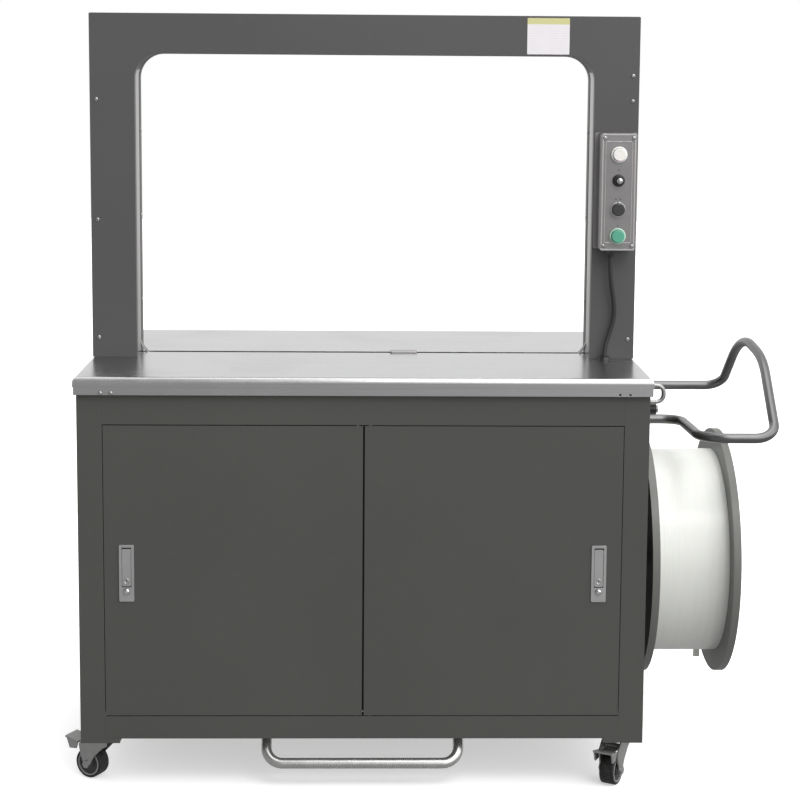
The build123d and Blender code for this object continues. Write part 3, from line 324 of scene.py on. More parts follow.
CABINET_GREY = (0.067, 0.0675, 0.062)
ARCH_GREY = (0.080, 0.0775, 0.0775)
STEEL_BELOW_ARCH_TOP = 44 * MM
STEEL_FROM_FRONT, STEEL_TO_REAR = 18 * MM, 64 * MM
arch_low, arch_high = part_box("arch_front_cover")
track_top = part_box("arch_track")[1].z
cabinet_paint = powder_coat("cabinet_powder_coat", CABINET_GREY)
arch_paint = powder_coat("arch_powder_coat", ARCH_GREY)
rail_steel = satin_metal("rail_tube_steel", (0.16, 0.16, 0.16), 0.30)
foot_bar_steel = satin_metal("foot_bar_steel", (0.50, 0.50, 0.49), 0.26)
reel_paint = powder_coat("reel_dark_paint", (0.15, 0.152, 0.142), 0.38)
motor_paint = powder_coat("motor_paint", (0.05, 0.08, 0.11), 0.4)
box_aluminium = satin_metal("control_box_aluminium", (0.27, 0.262, 0.262), 0.44)
table_steel = brushed("table_brushed_stainless", (0.50, 0.50, 0.505), 0.24, "x")
# the rim paint is the arch grey darkened to 0.55: painted shade inside the arch opening, whose real
# paint matches the face
track_finish = arch_lining(shade(ARCH_GREY, 0.55), (0.38, 0.37, 0.36),
                           track_top - STEEL_BELOW_ARCH_TOP,
                           arch_low.y + STEEL_FROM_FRONT, arch_low.y + STEEL_TO_REAR)
anvil_steel = brushed("anvil_steel", (0.36, 0.35, 0.34), 0.34, "x")
machined_steel = brushed("machined_steel", (0.42, 0.42, 0.43), 0.34, "z")
label_metal = brushed("control_label_metal", (0.52, 0.51, 0.50), 0.36, "z")
zinc = plated("zinc_plate", (0.42, 0.42, 0.415), 0.46)
screw_zinc = plated("screw_zinc", (0.40, 0.40, 0.40), 0.33)
lock_satin = satin_metal("lock_satin_metal", (0.46, 0.465, 0.46), 0.42)
bright_chrome = plated("bright_chrome", (0.62, 0.62, 0.63), 0.18)
black_plastic = moulded("black_plastic", (0.014, 0.014, 0.015), 0.42)
cable_rubber = moulded("cable_rubber", (0.02, 0.02, 0.02), 0.5, 0.8 * MM)
white_lens = moulded("white_lens", (0.84, 0.82, 0.79), 0.30, Subsurface_Weight=0.2,
                     Subsurface_Scale=0.004, Coat_Weight=0.3)
black_cap = moulded("black_cap", (0.018, 0.018, 0.02), 0.22, Coat_Weight=0.4)
green_cap = moulded("green_cap", (0.085, 0.36, 0.25), 0.34, Coat_Weight=0.2)
# the ring round the green button is real; its pale colour, much lighter than the cap, is a painted
# highlight for the bright arcs on it
green_ring_highlight = moulded("green_ring_highlight", (0.46, 0.66, 0.55), 0.34, Coat_Weight=0.2)
wheel_ring = moulded("wheel_ring_grey", (0.26, 0.26, 0.26), 0.42)
wheel_web = moulded("wheel_web_dark", (0.045, 0.045, 0.045), 0.5)
tyre = tyre_rubber()

node_finish = {
    cabinet_paint: ["corner_posts", "frame_rails", "base_tray", "left_side_panel",
                    "right_side_panel", "rear_panel", "centre_mullion", "left_door",
                    "right_door"],
    arch_paint: ["arch_front_cover", "arch_shell"],
    table_steel: ["table_front_plate", "table_rear_plate", "strap_pool"],
    track_finish: ["arch_track"],
    anvil_steel: ["anvil_plate"],
    machined_steel: ["door_hinge_pins", "reel_axle", "seal_press", "cam_shaft", "head_frame",
                     "feed_roller", "foot_bar_brackets"],
    zinc: ["caster_mounts", "left_front_fork", "right_front_fork", "left_brake_pedal",
           "right_brake_pedal", "strap_guide"],
    lock_satin: ["left_lock_body", "right_lock_body", "left_lock_lever", "right_lock_lever"],
    box_aluminium: ["control_box", "control_plate", "electrical_box"],
    bright_chrome: ["mode_toggle"],
    label_metal: ["left_lock_button", "right_lock_button"],
    white_lens: ["white_button"],
    black_cap: ["black_button"],
    green_cap: ["green_button"],
    black_plastic: ["cable_glands", "reel_nut", "infeed_roller", "pinch_roller"],
    rail_steel: ["guard_rail", "rail_sockets"],
    foot_bar_steel: ["foot_bar"],
    reel_paint: ["reel_hub", "reel_outer_flange"],
    motor_paint: ["drive_motor"],
}
for material, names in node_finish.items():
    for name in names:
        nodes[name].data.materials.clear()
        nodes[name].data.materials.append(material)


# ---------------------------------------- mesh helpers
def new_piece(name, mesh, material, body):
    """Put a finished mesh in the scene, riding on a body."""
    piece = bpy.data.objects.new(name, mesh)
    bpy.context.scene.collection.objects.link(piece)
    if material:
        mesh.materials.clear()
        mesh.materials.append(material)
    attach(piece, body)
    return piece


def finish_mesh(name, shape, smooth_angle=35.0):
    """Turn a bmesh into a mesh with outward faces, smooth below an angle."""
    bmesh.ops.remove_doubles(shape, verts=shape.verts, dist=1e-7)
    bmesh.ops.recalc_face_normals(shape, faces=shape.faces)
    limit = math.radians(smooth_angle)
    for face in shape.faces:
        face.smooth = True
    for edge in shape.edges:
        edge.smooth = len(edge.link_faces) == 2 and edge.calc_face_angle(0.0) < limit
    mesh = bpy.data.meshes.new(name)
    shape.to_mesh(mesh)
    shape.free()
    return mesh


def turn_profile(shape, profile, segments, place):
    """Turn a closed profile of (radius, height) points about the local Z axis."""
    rings = []
    for radius, height in profile:
        ring = []
        for step in range(segments):
            angle = 2 * math.pi * step / segments
            point = Vector((radius * math.cos(angle), radius * math.sin(angle), height))
            ring.append(shape.verts.new(place @ point))
        rings.append(ring)
    for first, second in zip(rings, rings[1:] + rings[:1]):
        for step in range(segments):
            after = (step + 1) % segments
            shape.faces.new((first[step], first[after], second[after], second[step]))


def along(axis, origin):
    """A placement whose Z axis points along a direction."""
    turn = Vector(axis).normalized().to_track_quat("Z", "Y").to_matrix().to_4x4()
    return Matrix.Translation(origin) @ turn


def rounded_profile(points, radius, steps=4):
    """An open profile with each corner rounded, starting a radius before the corner."""
    rounded = [points[0]]
    for before, here, after in zip(points, points[1:], points[2:]):
        here = Vector(here)
        back = (Vector(before) - here).normalized() * radius
        ahead = (Vector(after) - here).normalized() * radius
        for step in range(steps + 1):
            share = step / steps
            rounded.append(tuple(here + back * (1 - share) ** 2 + ahead * share ** 2))
    rounded.append(points[-1])
    return rounded


def plate(shape, width, height, thickness, corner, place, bevel=0.0):
    """A rounded rectangular plate on the local XY plane, its face towards local +Z."""
    outline = []
    for quarter, (sx, sy) in enumerate(((1, 1), (-1, 1), (-1, -1), (1, -1))):
        for step in range(7):
            angle = math.pi / 2 * (quarter + step / 6)
            outline.append((sx * (width / 2 - corner), sy * (height / 2 - corner), angle))
    levels = [(0.0, corner), (thickness - bevel, corner), (thickness, corner - bevel)]
    rings = []
    for level, reach in levels:
        ring = []
        for x, y, angle in outline:
            point = Vector((x + reach * math.cos(angle), y + reach * math.sin(angle), level))
            ring.append(shape.verts.new(place @ point))
        rings.append(ring)
    count = len(outline)
    for first, second in zip(rings, rings[1:]):
        for step in range(count):
            after = (step + 1) % count
            shape.faces.new((first[step], first[after], second[after], second[step]))
    shape.faces.new(list(reversed(rings[0])))
    shape.faces.new(rings[-1])


def thin_bar(shape, x0, x1, z0, z1, y, depth):
    """A thin bar on a front face."""
    corners = [(x0, z0), (x1, z0), (x1, z1), (x0, z1)]
    front = [shape.verts.new((x, y - depth, z)) for x, z in corners]
    back = [shape.verts.new((x, y, z)) for x, z in corners]
    shape.faces.new(front)
    shape.faces.new(list(reversed(back)))
    for k in range(4):
        after = (k + 1) % 4
        shape.faces.new((front[after], front[k], back[k], back[after]))


# ---------------------------------------- casters' wheels
WHEEL_RADIUS = 26 * MM
TYRE_SEAT = 22 * MM
TREAD_CROWN = 1.5 * MM
wheel_low, wheel_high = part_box("left_rear_wheel")
WHEEL_HALF = wheel_high.x / 2 - wheel_low.x / 2
tyre_profile = rounded_profile(
    [(TYRE_SEAT - 0.6 * MM, WHEEL_HALF - 1.2 * MM), (TYRE_SEAT, WHEEL_HALF),
     (WHEEL_RADIUS, WHEEL_HALF - TREAD_CROWN), (WHEEL_RADIUS, TREAD_CROWN - WHEEL_HALF),
     (TYRE_SEAT, -WHEEL_HALF), (TYRE_SEAT - 0.6 * MM, 1.2 * MM - WHEEL_HALF)],
    1.4 * MM)
# outer edges as (radius, height above the wheel's side), in millimetres
rim_edge = [(19.0, -0.8), (19.4, -0.3), (20.9, -0.3), (21.35, -0.8)]
web_edge = [(4.2, 0.4), (8.6, 0.4), (9.4, -0.4), (9.8, -4.5), (17.5, -5.0), (18.95, -3.0)]


def both_sides(edge):
    """A wheel profile from its outer edge, given as (radius, height above the wheel's side)."""
    upper = [(radius * MM, WHEEL_HALF + height * MM) for radius, height in edge]
    return upper + [(radius, -height) for radius, height in reversed(upper)]


wheel_parts = (
    ("tyre", tyre_profile, tyre, 35.0),
    ("rim", both_sides(rim_edge), wheel_ring, 30.0),
    ("web", both_sides(web_edge), wheel_web, 30.0),
)
for joint_name, joint in joints.items():
    if not joint_name.endswith("wheel_spin"):
        continue
    wheel_body = joint["child"]
    place = along(joint["axis"], joint["pos_m"])
    for part_name, profile, material, smooth_angle in wheel_parts:
        shape = bmesh.new()
        turn_profile(shape, profile, 72, place)
        piece_name = wheel_body + "_" + part_name
        mesh = finish_mesh(piece_name, shape, smooth_angle)
        wheel_part = new_piece(piece_name, mesh, material, wheel_body)
        if part_name == "tyre":
            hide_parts(wheel_body)

# ---------------------------------------- wound strap on the reel
coil_low, coil_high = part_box("strap_coil")
coil_radius = (coil_high.z - coil_low.z) / 2
coil_centre = (coil_low + coil_high) / 2
coil_width = coil_high.x - coil_low.x
strap_bands = 10
band_width = coil_width / strap_bands
strap_finish = wound_strap(coil_low.x, band_width)

COIL_BORE_RADIUS = 102 * MM
GROOVE = 0.1 * MM
band_lifts = (0.0, 0.10, 0.03, 0.12, 0.06)      # how far bands stand proud, in millimetres
band_edge = ((0.0, 1.0), (0.04, 0.25), (0.12, 0.0), (0.88, 0.0), (0.96, 0.25), (1.0, 1.0))
coil_shape = bmesh.new()
coil_profile = []
for band in range(strap_bands):
    start = band * band_width
    band_radius = coil_radius - 0.25 * MM + band_lifts[band % len(band_lifts)] * MM
    for share, drop in band_edge:
        coil_profile.append((band_radius - GROOVE * drop, start + share * band_width))
coil_profile.append((COIL_BORE_RADIUS, coil_width))
coil_profile.append((COIL_BORE_RADIUS, 0.0))
coil_place = along((1, 0, 0), (coil_low.x, coil_centre.y, coil_centre.z))
turn_profile(coil_shape, coil_profile, 160, coil_place)
strap_layers = new_piece("strap_layers", finish_mesh("strap_layers", coil_shape, 50.0),
                         strap_finish, "reel")
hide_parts("strap_coil")

# loose end of the strap, hanging from the underside of the coil
STRAP_WIDTH, STRAP_THICKNESS = 12 * MM, 0.7 * MM
tail_start = Vector((coil_high.x - 1.5 * band_width, coil_centre.y - 10 * MM,
                     coil_centre.z - coil_radius + 0.4 * MM))
tail_line = [(0.0, -0.2), (8.0, -1.0), (14.0, -4.5), (17.0, -10.0), (18.5, -17.0), (18.0, -25.0)]
tail_shape = bmesh.new()
tail_rows = []
for back, drop in tail_line:
    row = []
    for side, outward in ((-0.5, 0), (0.5, 0), (0.5, 1), (-0.5, 1)):
        proud = outward * STRAP_THICKNESS
        shift = Vector((side * STRAP_WIDTH, back * MM + proud, drop * MM - proud))
        row.append(tail_shape.verts.new(tail_start + shift))
    tail_rows.append(row)
for first, second in zip(tail_rows, tail_rows[1:]):
    for step in range(4):
        after = (step + 1) % 4
        tail_shape.faces.new((first[step], first[after], second[after], second[step]))
tail_shape.faces.new(tail_rows[0])
tail_shape.faces.new(tail_rows[-1])
new_piece("strap_loose_end", finish_mesh("strap_loose_end", tail_shape), strap_finish,
          "reel")


# ---------------------------------------- screw heads, set by Geometry Nodes
def screw_head_mesh():
    """A low pan head with a cross recess, face towards +Z."""
    shape = bmesh.new()
    rings = [(3.6, 0.0), (3.6, 0.5), (3.2, 1.1), (2.5, 1.55), (2.0, 1.7)]
    count = 32
    made = []
    for radius, height in rings:
        made.append([shape.verts.new((radius * MM * math.cos(2 * math.pi * k / count),
                                      radius * MM * math.sin(2 * math.pi * k / count), height * MM))
                     for k in range(count)])
    for first, second in zip(made, made[1:]):
        for k in range(count):
            after = (k + 1) % count
            shape.faces.new((first[k], first[after], second[after], second[k]))
    # the recess: a cross outline sunk into the top
    arm, half = 1.45, 0.36
    cross = [(arm, -half), (arm, half), (half, half), (half, arm), (-half, arm), (-half, half),
             (-arm, half), (-arm, -half), (-half, -half), (-half, -arm), (half, -arm),
             (half, -half)]
    rim = [shape.verts.new((x * MM, y * MM, 1.75 * MM)) for x, y in cross]
    floor = [shape.verts.new((x * 0.6 * MM, y * 0.6 * MM, 0.7 * MM)) for x, y in cross]
    for k in range(len(cross)):
        after = (k + 1) % len(cross)
        shape.faces.new((rim[after], rim[k], floor[k], floor[after]))
    shape.faces.new(floor)
    edges = [shape.edges.get((rim[k], rim[(k + 1) % len(cross)])) for k in range(len(cross))]
    edges += [shape.edges.get((made[-1][k], made[-1][(k + 1) % count])) for k in range(count)]
    bmesh.ops.bridge_loops(shape, edges=edges)
    shape.faces.new(list(reversed(made[0])))
    return finish_mesh("screw_head", shape, 40.0)


def islands(node, reach):
    """Lowest and highest corner of each separate solid of a node, told apart by distance."""
    groups = []
    for vertex in nodes[node].data.vertices:
        for group in groups:
            if (vertex.co - group[0]).length < reach:
                group.append(vertex.co.copy())
                break
        else:
            groups.append([vertex.co.copy()])
    corners = []
    for group in groups:
        low = Vector([min(point[k] for point in group) for k in range(3)])
        high = Vector([max(point[k] for point in group) for k in range(3)])
        corners.append((low, high))
    return corners


def set_on_points(name, places, head, material, size):
    """Copy a head to each (place, facing) with Geometry Nodes, and return one plain mesh."""
    carrier_mesh = bpy.data.meshes.new(name + "_points")
    carrier_mesh.from_pydata([tuple(place) for place, facing in places], [], [])
    facing_data = carrier_mesh.attributes.new("facing", "FLOAT_VECTOR", "POINT")
    for item, (place, facing) in zip(facing_data.data, places):
        item.vector = facing
    carrier = bpy.data.objects.new(name + "_points", carrier_mesh)
    head_object = bpy.data.objects.new(name + "_head", head)
    bpy.context.scene.collection.objects.link(carrier)
    bpy.context.scene.collection.objects.link(head_object)
    tree = bpy.data.node_groups.new(name, "GeometryNodeTree")
    tree.interface.new_socket("Geometry", in_out="INPUT", socket_type="NodeSocketGeometry")
    head_input = tree.interface.new_socket("Head", in_out="INPUT", socket_type="NodeSocketObject")
    size_input = tree.interface.new_socket("Size", in_out="INPUT", socket_type="NodeSocketFloat")
    seed_input = tree.interface.new_socket("Seed", in_out="INPUT", socket_type="NodeSocketInt")
    size_input.default_value = size
    seed_input.default_value = 3
    tree.interface.new_socket("Geometry", in_out="OUTPUT", socket_type="NodeSocketGeometry")
    group_in = tree.nodes.new("NodeGroupInput")
    group_out = tree.nodes.new("NodeGroupOutput")
    info = tree.nodes.new("GeometryNodeObjectInfo")
    attribute = tree.nodes.new("GeometryNodeInputNamedAttribute")
    attribute.data_type = "FLOAT_VECTOR"
    attribute.inputs["Name"].default_value = "facing"
    align = tree.nodes.new("FunctionNodeAlignRotationToVector")
    align.axis = "Z"
    twist = tree.nodes.new("FunctionNodeRandomValue")
    twist.data_type = "FLOAT_VECTOR"
    twist.inputs["Min"].default_value = (0.0, 0.0, 0.0)
    twist.inputs["Max"].default_value = (0.0, 0.0, math.pi)
    spin = tree.nodes.new("FunctionNodeRotateRotation")
    spin.rotation_space = "LOCAL"
    to_rotation = tree.nodes.new("FunctionNodeEulerToRotation")
    instance = tree.nodes.new("GeometryNodeInstanceOnPoints")
    realize = tree.nodes.new("GeometryNodeRealizeInstances")
    paint = tree.nodes.new("GeometryNodeSetMaterial")
    paint.inputs["Material"].default_value = material
    link = tree.links.new
    link(group_in.outputs["Head"], info.inputs["Object"])
    link(attribute.outputs["Attribute"], align.inputs["Vector"])
    link(group_in.outputs["Seed"], twist.inputs["Seed"])
    link(twist.outputs["Value"], to_rotation.inputs["Euler"])
    link(align.outputs["Rotation"], spin.inputs["Rotation"])
    link(to_rotation.outputs["Rotation"], spin.inputs["Rotate By"])
    link(group_in.outputs["Geometry"], instance.inputs["Points"])
    link(info.outputs["Geometry"], instance.inputs["Instance"])
    link(spin.outputs["Rotation"], instance.inputs["Rotation"])
    link(group_in.outputs["Size"], instance.inputs["Scale"])
    link(instance.outputs["Instances"], realize.inputs["Geometry"])
    link(realize.outputs["Geometry"], paint.inputs["Geometry"])
    link(paint.outputs["Geometry"], group_out.inputs["Geometry"])
    modifier = carrier.modifiers.new("set", "NODES")
    modifier.node_group = tree
    modifier[head_input.identifier] = head_object
    graph = bpy.context.evaluated_depsgraph_get()
    plain = bpy.data.meshes.new_from_object(carrier.evaluated_get(graph))
    bpy.data.objects.remove(carrier)
    bpy.data.objects.remove(head_object)
    return plain


SCREW_REACH = 9.5 * MM       # longer than one screw, shorter than the gap to the next
HEAD_HEIGHT = 1.8 * MM
arch_middle = (arch_low + arch_high) / 2
screw_places = []
for low, high in islands("casing_screws", SCREW_REACH):
    extent = high - low
    middle = (low + high) / 2
    if extent.x < extent.y:
        inward = 1.0 if middle.x < arch_middle.x else -1.0
        face = low.x if inward < 0 else high.x
        seat = Vector((face - inward * HEAD_HEIGHT, middle.y, middle.z))
        screw_places.append((seat, Vector((inward, 0, 0))))
    else:
        seat = Vector((middle.x, low.y + HEAD_HEIGHT, middle.z))
        screw_places.append((seat, Vector((0, -1, 0))))
screw_mesh = set_on_points("screw_heads", screw_places, screw_head_mesh(), screw_zinc, 1.0)
screws = new_piece("screw_heads", screw_mesh, None, "frame")
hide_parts("casing_screws")

# ---------------------------------------- blank label on the arch
label_right = arch_high.x - 123.5 * MM
label_top = arch_high.z - 3.5 * MM
label_width, label_height = 73.5 * MM, 62.5 * MM
label_thickness = 0.3 * MM
yellow_band = 10.8 * MM
label_shape = bmesh.new()
label_middle = Vector((label_right - label_width / 2, arch_low.y, label_top - label_height / 2))
facing_front = Matrix(((1, 0, 0, 0), (0, 0, -1, 0), (0, 1, 0, 0), (0, 0, 0, 1)))
plate(label_shape, label_width, label_height, label_thickness, 1.0 * MM,
      Matrix.Translation(label_middle) @ facing_front, 0.1 * MM)
new_piece("blank_label", finish_mesh("blank_label", label_shape),
          blank_label(label_top, yellow_band), "frame")

# ---------------------------------------- label plate and dots on the control box
lid_low, lid_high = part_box("control_plate")
lid_middle = (lid_low + lid_high) / 2
panel_shape = bmesh.new()

# printed border of the control plate
border = 1.0 * MM
plate_width, plate_height = 47 * MM, 176 * MM
left, right = lid_middle.x - plate_width / 2, lid_middle.x + plate_width / 2
bottom, top = lid_middle.z - plate_height / 2, lid_middle.z + plate_height / 2
for x0, x1, z0, z1 in ((left, right, top - border, top), (left, right, bottom, bottom + border),
                       (left, left + border, bottom, top), (right - border, right, bottom, top)):
    thin_bar(panel_shape, x0, x1, z0, z1, lid_low.y, 0.4 * MM)

# raised rim of the lid
rim = 2.2 * MM
inset = 0.8 * MM
left, right = lid_low.x + inset, lid_high.x - inset
bottom, top = lid_low.z + inset, lid_high.z - inset
for x0, x1, z0, z1 in ((left, right, top - rim, top), (left, right, bottom, bottom + rim),
                       (left, left + rim, bottom + rim, top - rim),
                       (right - rim, right, bottom + rim, top - rim)):
    thin_bar(panel_shape, x0, x1, z0, z1, lid_low.y, 0.3 * MM)
new_piece("label_plate_border", finish_mesh("label_plate_border", panel_shape), label_metal,
          "frame")

buttons = ("white_button", "mode_toggle", "black_button", "green_button")
heights = [((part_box(name)[0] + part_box(name)[1]) / 2).z for name in buttons]
DOT_ABOVE_BUTTON = 18 * MM
dot_profile = [(1.1 * MM, 0.0), (1.1 * MM, 0.2 * MM), (0.01 * MM, 0.25 * MM), (0.01 * MM, 0.0)]
dot_shape = bmesh.new()
for height, spread in ((heights[1], (0.0,)), (heights[2], (-4.0, 4.0)), (heights[3], (0.0,))):
    for shift in spread:
        dot_place = (lid_middle.x + shift * MM, lid_low.y, height + DOT_ABOVE_BUTTON)
        turn_profile(dot_shape, dot_profile, 16, along((0, -1, 0), dot_place))
new_piece("function_dots", finish_mesh("function_dots", dot_shape), black_plastic, "frame")

# rings round the buttons and the base of the toggle, in place of the plain bezels;
# outlines are (radius, height above the lid) in millimetres
collars = (
    ("white_button_collar", heights[0], white_lens, "white_button",
     [(11.35, 0.0), (11.35, 3.4), (11.9, 4.0), (12.9, 4.0), (14.0, 2.8), (14.0, 0.0)]),
    ("toggle_base", joints["mode_toggle_swing"]["pos_m"][2], black_plastic, "black_plastic",
     [(4.9, 0.0), (4.9, 4.6), (5.6, 6.0), (8.0, 6.0), (9.2, 5.0), (9.4, 3.2), (10.5, 2.8),
      (10.5, 0.0)]),
    ("black_button_collar", heights[2], bright_chrome, "chrome",
     [(11.35, 0.0), (11.35, 2.6), (11.7, 3.0), (12.5, 3.0), (13.2, 2.2), (13.2, 0.0)]),
    ("green_button_collar", heights[3], green_ring_highlight, "green_button",
     [(11.35, 0.0), (11.35, 3.0), (11.8, 3.5), (12.9, 3.5), (14.0, 2.6), (14.0, 0.0)]),
)
for name, height, material, slot, outline in collars:
    collar_shape = bmesh.new()
    turn_profile(collar_shape, [(radius * MM, rise * MM) for radius, rise in outline], 64,
                 along((0, -1, 0), (lid_middle.x, lid_low.y, height)))
    collar = new_piece(name, finish_mesh(name, collar_shape), material, "frame")
    if name == "toggle_base":
        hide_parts("control_bezels")

# ---------------------------------------- key cylinders and caps on the locks
KEY_ABOVE_LEVER_END = 9 * MM
SLOT_WIDTH, SLOT_LENGTH = 1.0 * MM, 5.4 * MM
key_profile = [(4.6, 0.0), (4.6, 0.5), (4.1, 0.9), (3.6, 0.6), (0.01, 0.6), (0.01, 0.0)]
cap_profile = [(5.3, 0.0), (5.3, 0.6), (4.9, 1.5), (3.8, 2.3), (2.0, 2.7), (0.01, 2.8),
               (0.01, 0.0)]
for side in ("left", "right"):
    lever = side + "_lock_lever"
    lever_low, lever_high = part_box(lever)
    middle_of_lever = (lever_low.x + lever_high.x) / 2
    key_height = lever_low.z + KEY_ABOVE_LEVER_END
    key_shape = bmesh.new()
    turn_profile(key_shape, [(radius * MM, rise * MM) for radius, rise in key_profile], 32,
                 along((0, -1, 0), (middle_of_lever, lever_low.y, key_height)))
    name = side + "_key_cylinder"
    new_piece(name, finish_mesh(name, key_shape), label_metal, lever)
    # a thin black bar on the key cylinder: painted shade standing for the dark recess of the keyway
    keyway_shade_shape = bmesh.new()
    thin_bar(keyway_shade_shape, middle_of_lever - SLOT_WIDTH / 2, middle_of_lever + SLOT_WIDTH / 2,
             key_height - SLOT_LENGTH / 2, key_height + SLOT_LENGTH / 2,
             lever_low.y - 0.6 * MM, 0.15 * MM)
    name = side + "_key_slot"
    new_piece(name, finish_mesh(name, keyway_shade_shape), black_plastic, lever)

    button = side + "_lock_button"
    button_low, button_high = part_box(button)
    button_middle = (button_low + button_high) / 2
    cap_shape = bmesh.new()
    turn_profile(cap_shape, [(radius * MM, rise * MM) for radius, rise in cap_profile], 40,
                 along((0, -1, 0), (button_middle.x, button_low.y, button_middle.z)))
    new_piece(button + "_cap", finish_mesh(button + "_cap", cap_shape, 50.0), bright_chrome,
              button)

# ---------------------------------------- pressed ribs on the outer flange
flange_inner_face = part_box("reel_outer_flange")[0].x
RIBS = 8
RIB_START, RIB_LENGTH = 58 * MM, 140 * MM
RIBS_PAST_INNER_FACE = 3 * MM
rib_ends = ((0.0, 1.0), (0.04, 4.0), (0.15, 5.5), (0.85, 5.5), (0.96, 4.0), (1.0, 1.0))
rib_section = ((-1.0, 0.0), (-0.6, 0.7), (0.0, 1.0), (0.6, 0.7), (1.0, 0.0))
rib_centre = Vector((flange_inner_face + RIBS_PAST_INNER_FACE, coil_centre.y, coil_centre.z))
rib_shape = bmesh.new()
for step in range(RIBS):
    turn = Matrix.Rotation(2 * math.pi / RIBS * step, 4, "X")
    rows = []
    for share, half in rib_ends:
        reach = RIB_START + share * RIB_LENGTH
        row = []
        for across, rise in rib_section:
            point = Vector((rise * min(half, 4.0) * MM, across * half * MM, reach))
            row.append(rib_shape.verts.new(rib_centre + turn @ point))
        rows.append(row)
    for first, second in zip(rows, rows[1:]):
        for k in range(4):
            rib_shape.faces.new((first[k], first[k + 1], second[k + 1], second[k]))
        rib_shape.faces.new((first[4], first[0], second[0], second[4]))
    rib_shape.faces.new(rows[0])
    rib_shape.faces.new(rows[-1])
new_piece("flange_ribs", finish_mesh("flange_ribs", rib_shape, 60.0), reel_paint, "reel")

# ---------------------------------------- control cable
cabinet_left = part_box("left_side_panel")[0].x
cabinet_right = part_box("right_side_panel")[1].x
middle_x = (cabinet_left + cabinet_right) / 2
table_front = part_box("table_front_plate")[0].y
table_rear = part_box("table_rear_plate")[1].y
middle_y = (table_front + table_rear) / 2
CABLE_THICKNESS, CABLE_LENGTH = 0.008, 0.180
# the cable's route from the gland to the table, in millimetres from the machine's middle
cable_route = [
    (430.0, -88.5, 893.5),
    (430.0, -88.5, 862.0),
    (440.5, -80.5, 808.0),
    (439.5, -79.0, 781.0),
    (431.0, -79.8, 755.0),
    (424.0, -82.0, 733.0),
    (424.0, -82.0, 717.0),
]
cable_points = [Vector((middle_x + x * MM, middle_y + y * MM, z * MM)) for x, y, z in cable_route]
cable_curve = bpy.data.curves.new("control_cable_run", "CURVE")
cable_curve.dimensions = "3D"
spline = cable_curve.splines.new("NURBS")
spline.points.add(len(cable_points) - 1)
for point, place in zip(spline.points, cable_points):
    point.co = (*place, 1.0)
spline.order_u = 3
spline.use_endpoint_u = True
cable_curve.bevel_depth = CABLE_THICKNESS / 2
cable_curve.bevel_resolution = 6
cable_curve.resolution_u = 12
cable_curve.materials.append(cable_rubber)
cable = bpy.data.objects.new("control_cable_run", cable_curve)
bpy.context.scene.collection.objects.link(cable)
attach(cable, "frame")
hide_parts("control_cable")

# ---------------------------------------- floor, light and camera
FLOOR_REACH = 12.0
floor_corners = [(x * FLOOR_REACH, y * FLOOR_REACH, 0.0)
                 for x, y in ((-1, -1), (1, -1), (1, 1), (-1, 1))]
floor_mesh = bpy.data.meshes.new("studio_floor")
floor_mesh.from_pydata(floor_corners, [], [(0, 1, 2, 3)])
floor_mesh.materials.append(studio_floor())
floor = bpy.data.objects.new("studio_floor", floor_mesh)
floor.visible_diffuse = False
floor.visible_glossy = False
bpy.context.scene.collection.objects.link(floor)


class Surround(Finish):
    """The studio round the machine: its node tree written with the same tools as a finish."""

    def __init__(self, world):
        world.use_nodes = True
        self.tree = world.node_tree
        self.shader = self.tree.nodes["Background"]
        self.place = self.node("ShaderNodeTexCoord", {}, {}, "Generated")


# how brightly the studio glows from each side; the camera itself sees plain white
FRONT_LEFT, FRONT_RIGHT = 0.47, 0.95
HIGH_LEFT, HIGH_RIGHT = 0.26, 2.35
BEHIND, BELOW = 1.0, 0.42
CEILING_EXTRA = 0.5
studio = bpy.data.worlds.new("studio")
surround = Surround(studio)
across, depth, height = surround.axis("X"), surround.axis("Y"), surround.axis("Z")
low_front = FRONT_LEFT + across.step(-0.08, 0.16) * (FRONT_RIGHT - FRONT_LEFT)
high_front = HIGH_LEFT + across.step(-0.10, 0.16) * (HIGH_RIGHT - HIGH_LEFT)
front = low_front + height.step(-0.02, 0.25) * (high_front - low_front)
walls = front + depth.step(-0.15, 0.35) * (BEHIND - front)
above_floor = walls + height.step(0.70, 0.98) * CEILING_EXTRA
glow = BELOW + height.step(-0.20, -0.06) * (above_floor - BELOW)
seen_directly = surround.node("ShaderNodeLightPath", {}, {}, "Is Camera Ray")
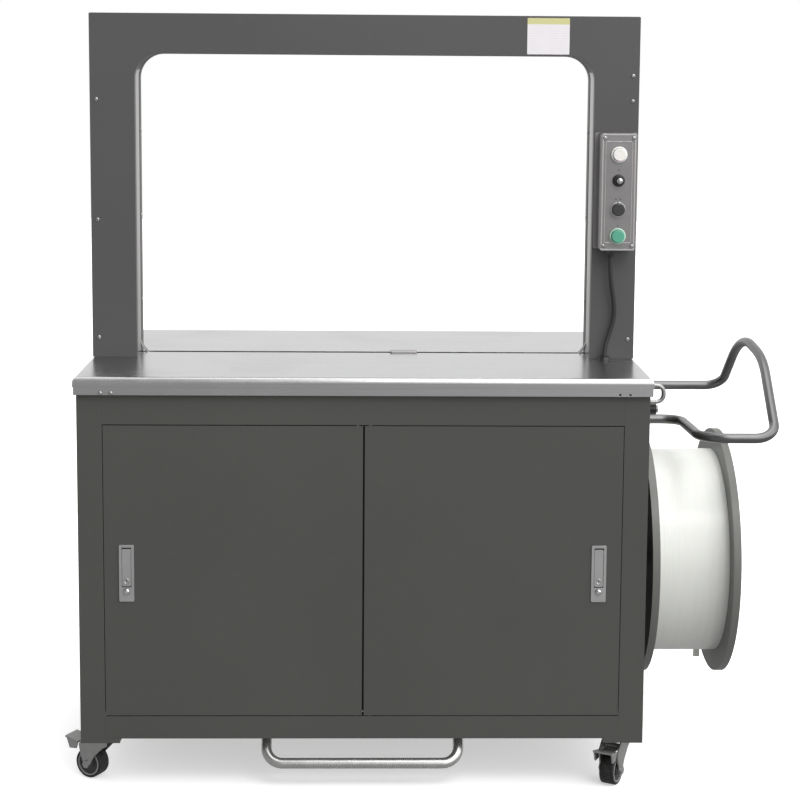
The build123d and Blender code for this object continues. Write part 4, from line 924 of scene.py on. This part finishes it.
surround.set(Color=(1.0, 1.0, 1.0), Strength=glow + seen_directly * (1.0 - glow))
bpy.context.scene.world = studio
bpy.context.scene.view_settings.view_transform = "Standard"


def soft_box(name, place, target, size, power):
    """A rectangular studio light aimed at a point."""
    lamp = bpy.data.lights.new(name, "AREA")
    lamp.shape = "RECTANGLE"
    lamp.size, lamp.size_y = size
    lamp.energy = power
    holder = bpy.data.objects.new(name, lamp)
    holder.location = place
    holder.rotation_euler = (Vector(target) - Vector(place)).to_track_quat("-Z", "Y").to_euler()
    bpy.context.scene.collection.objects.link(holder)


soft_box("overhead", place=(middle_x + 0.6, 0.2, 3.4), target=(middle_x + 0.4, 0.0, 0.5),
         size=(2.6, 2.2), power=22.0)
soft_box("front_high", place=(middle_x + 0.7, -2.0, 2.5), target=(middle_x + 0.2, 0.0, 1.2),
         size=(1.4, 0.8), power=14.0)

# camera: its place is from the machine's middle, in metres
CAMERA_RIGHT, CAMERA_BACK, CAMERA_HEIGHT = -0.0106, 3.339, 1.214
CAMERA_YAW, CAMERA_PITCH, CAMERA_ROLL = 1.29, 7.12, 0.42
camera_data = bpy.data.cameras.new("camera")
camera_data.sensor_width = 36.0
camera_data.lens = 84.18
camera_data.shift_y = -0.1187
camera_data.clip_end = 60.0
camera = bpy.data.objects.new("camera", camera_data)
yaw, pitch, roll = (math.radians(turn) for turn in (CAMERA_YAW, CAMERA_PITCH, CAMERA_ROLL))
forward = Vector((math.sin(yaw) * math.cos(pitch), math.cos(yaw) * math.cos(pitch),
                  -math.sin(pitch)))
level_right = Vector((math.cos(yaw), -math.sin(yaw), 0.0))
level_up = level_right.cross(forward)
view_right = level_right * math.cos(roll) + level_up * math.sin(roll)
view_up = level_up * math.cos(roll) - level_right * math.sin(roll)
view_turn = Matrix((view_right, view_up, -forward)).transposed().to_4x4()
camera_place = (middle_x + CAMERA_RIGHT, middle_y - CAMERA_BACK, CAMERA_HEIGHT)
camera.matrix_world = Matrix.Translation(camera_place) @ view_turn
bpy.context.scene.collection.objects.link(camera)
bpy.context.scene.camera = camera
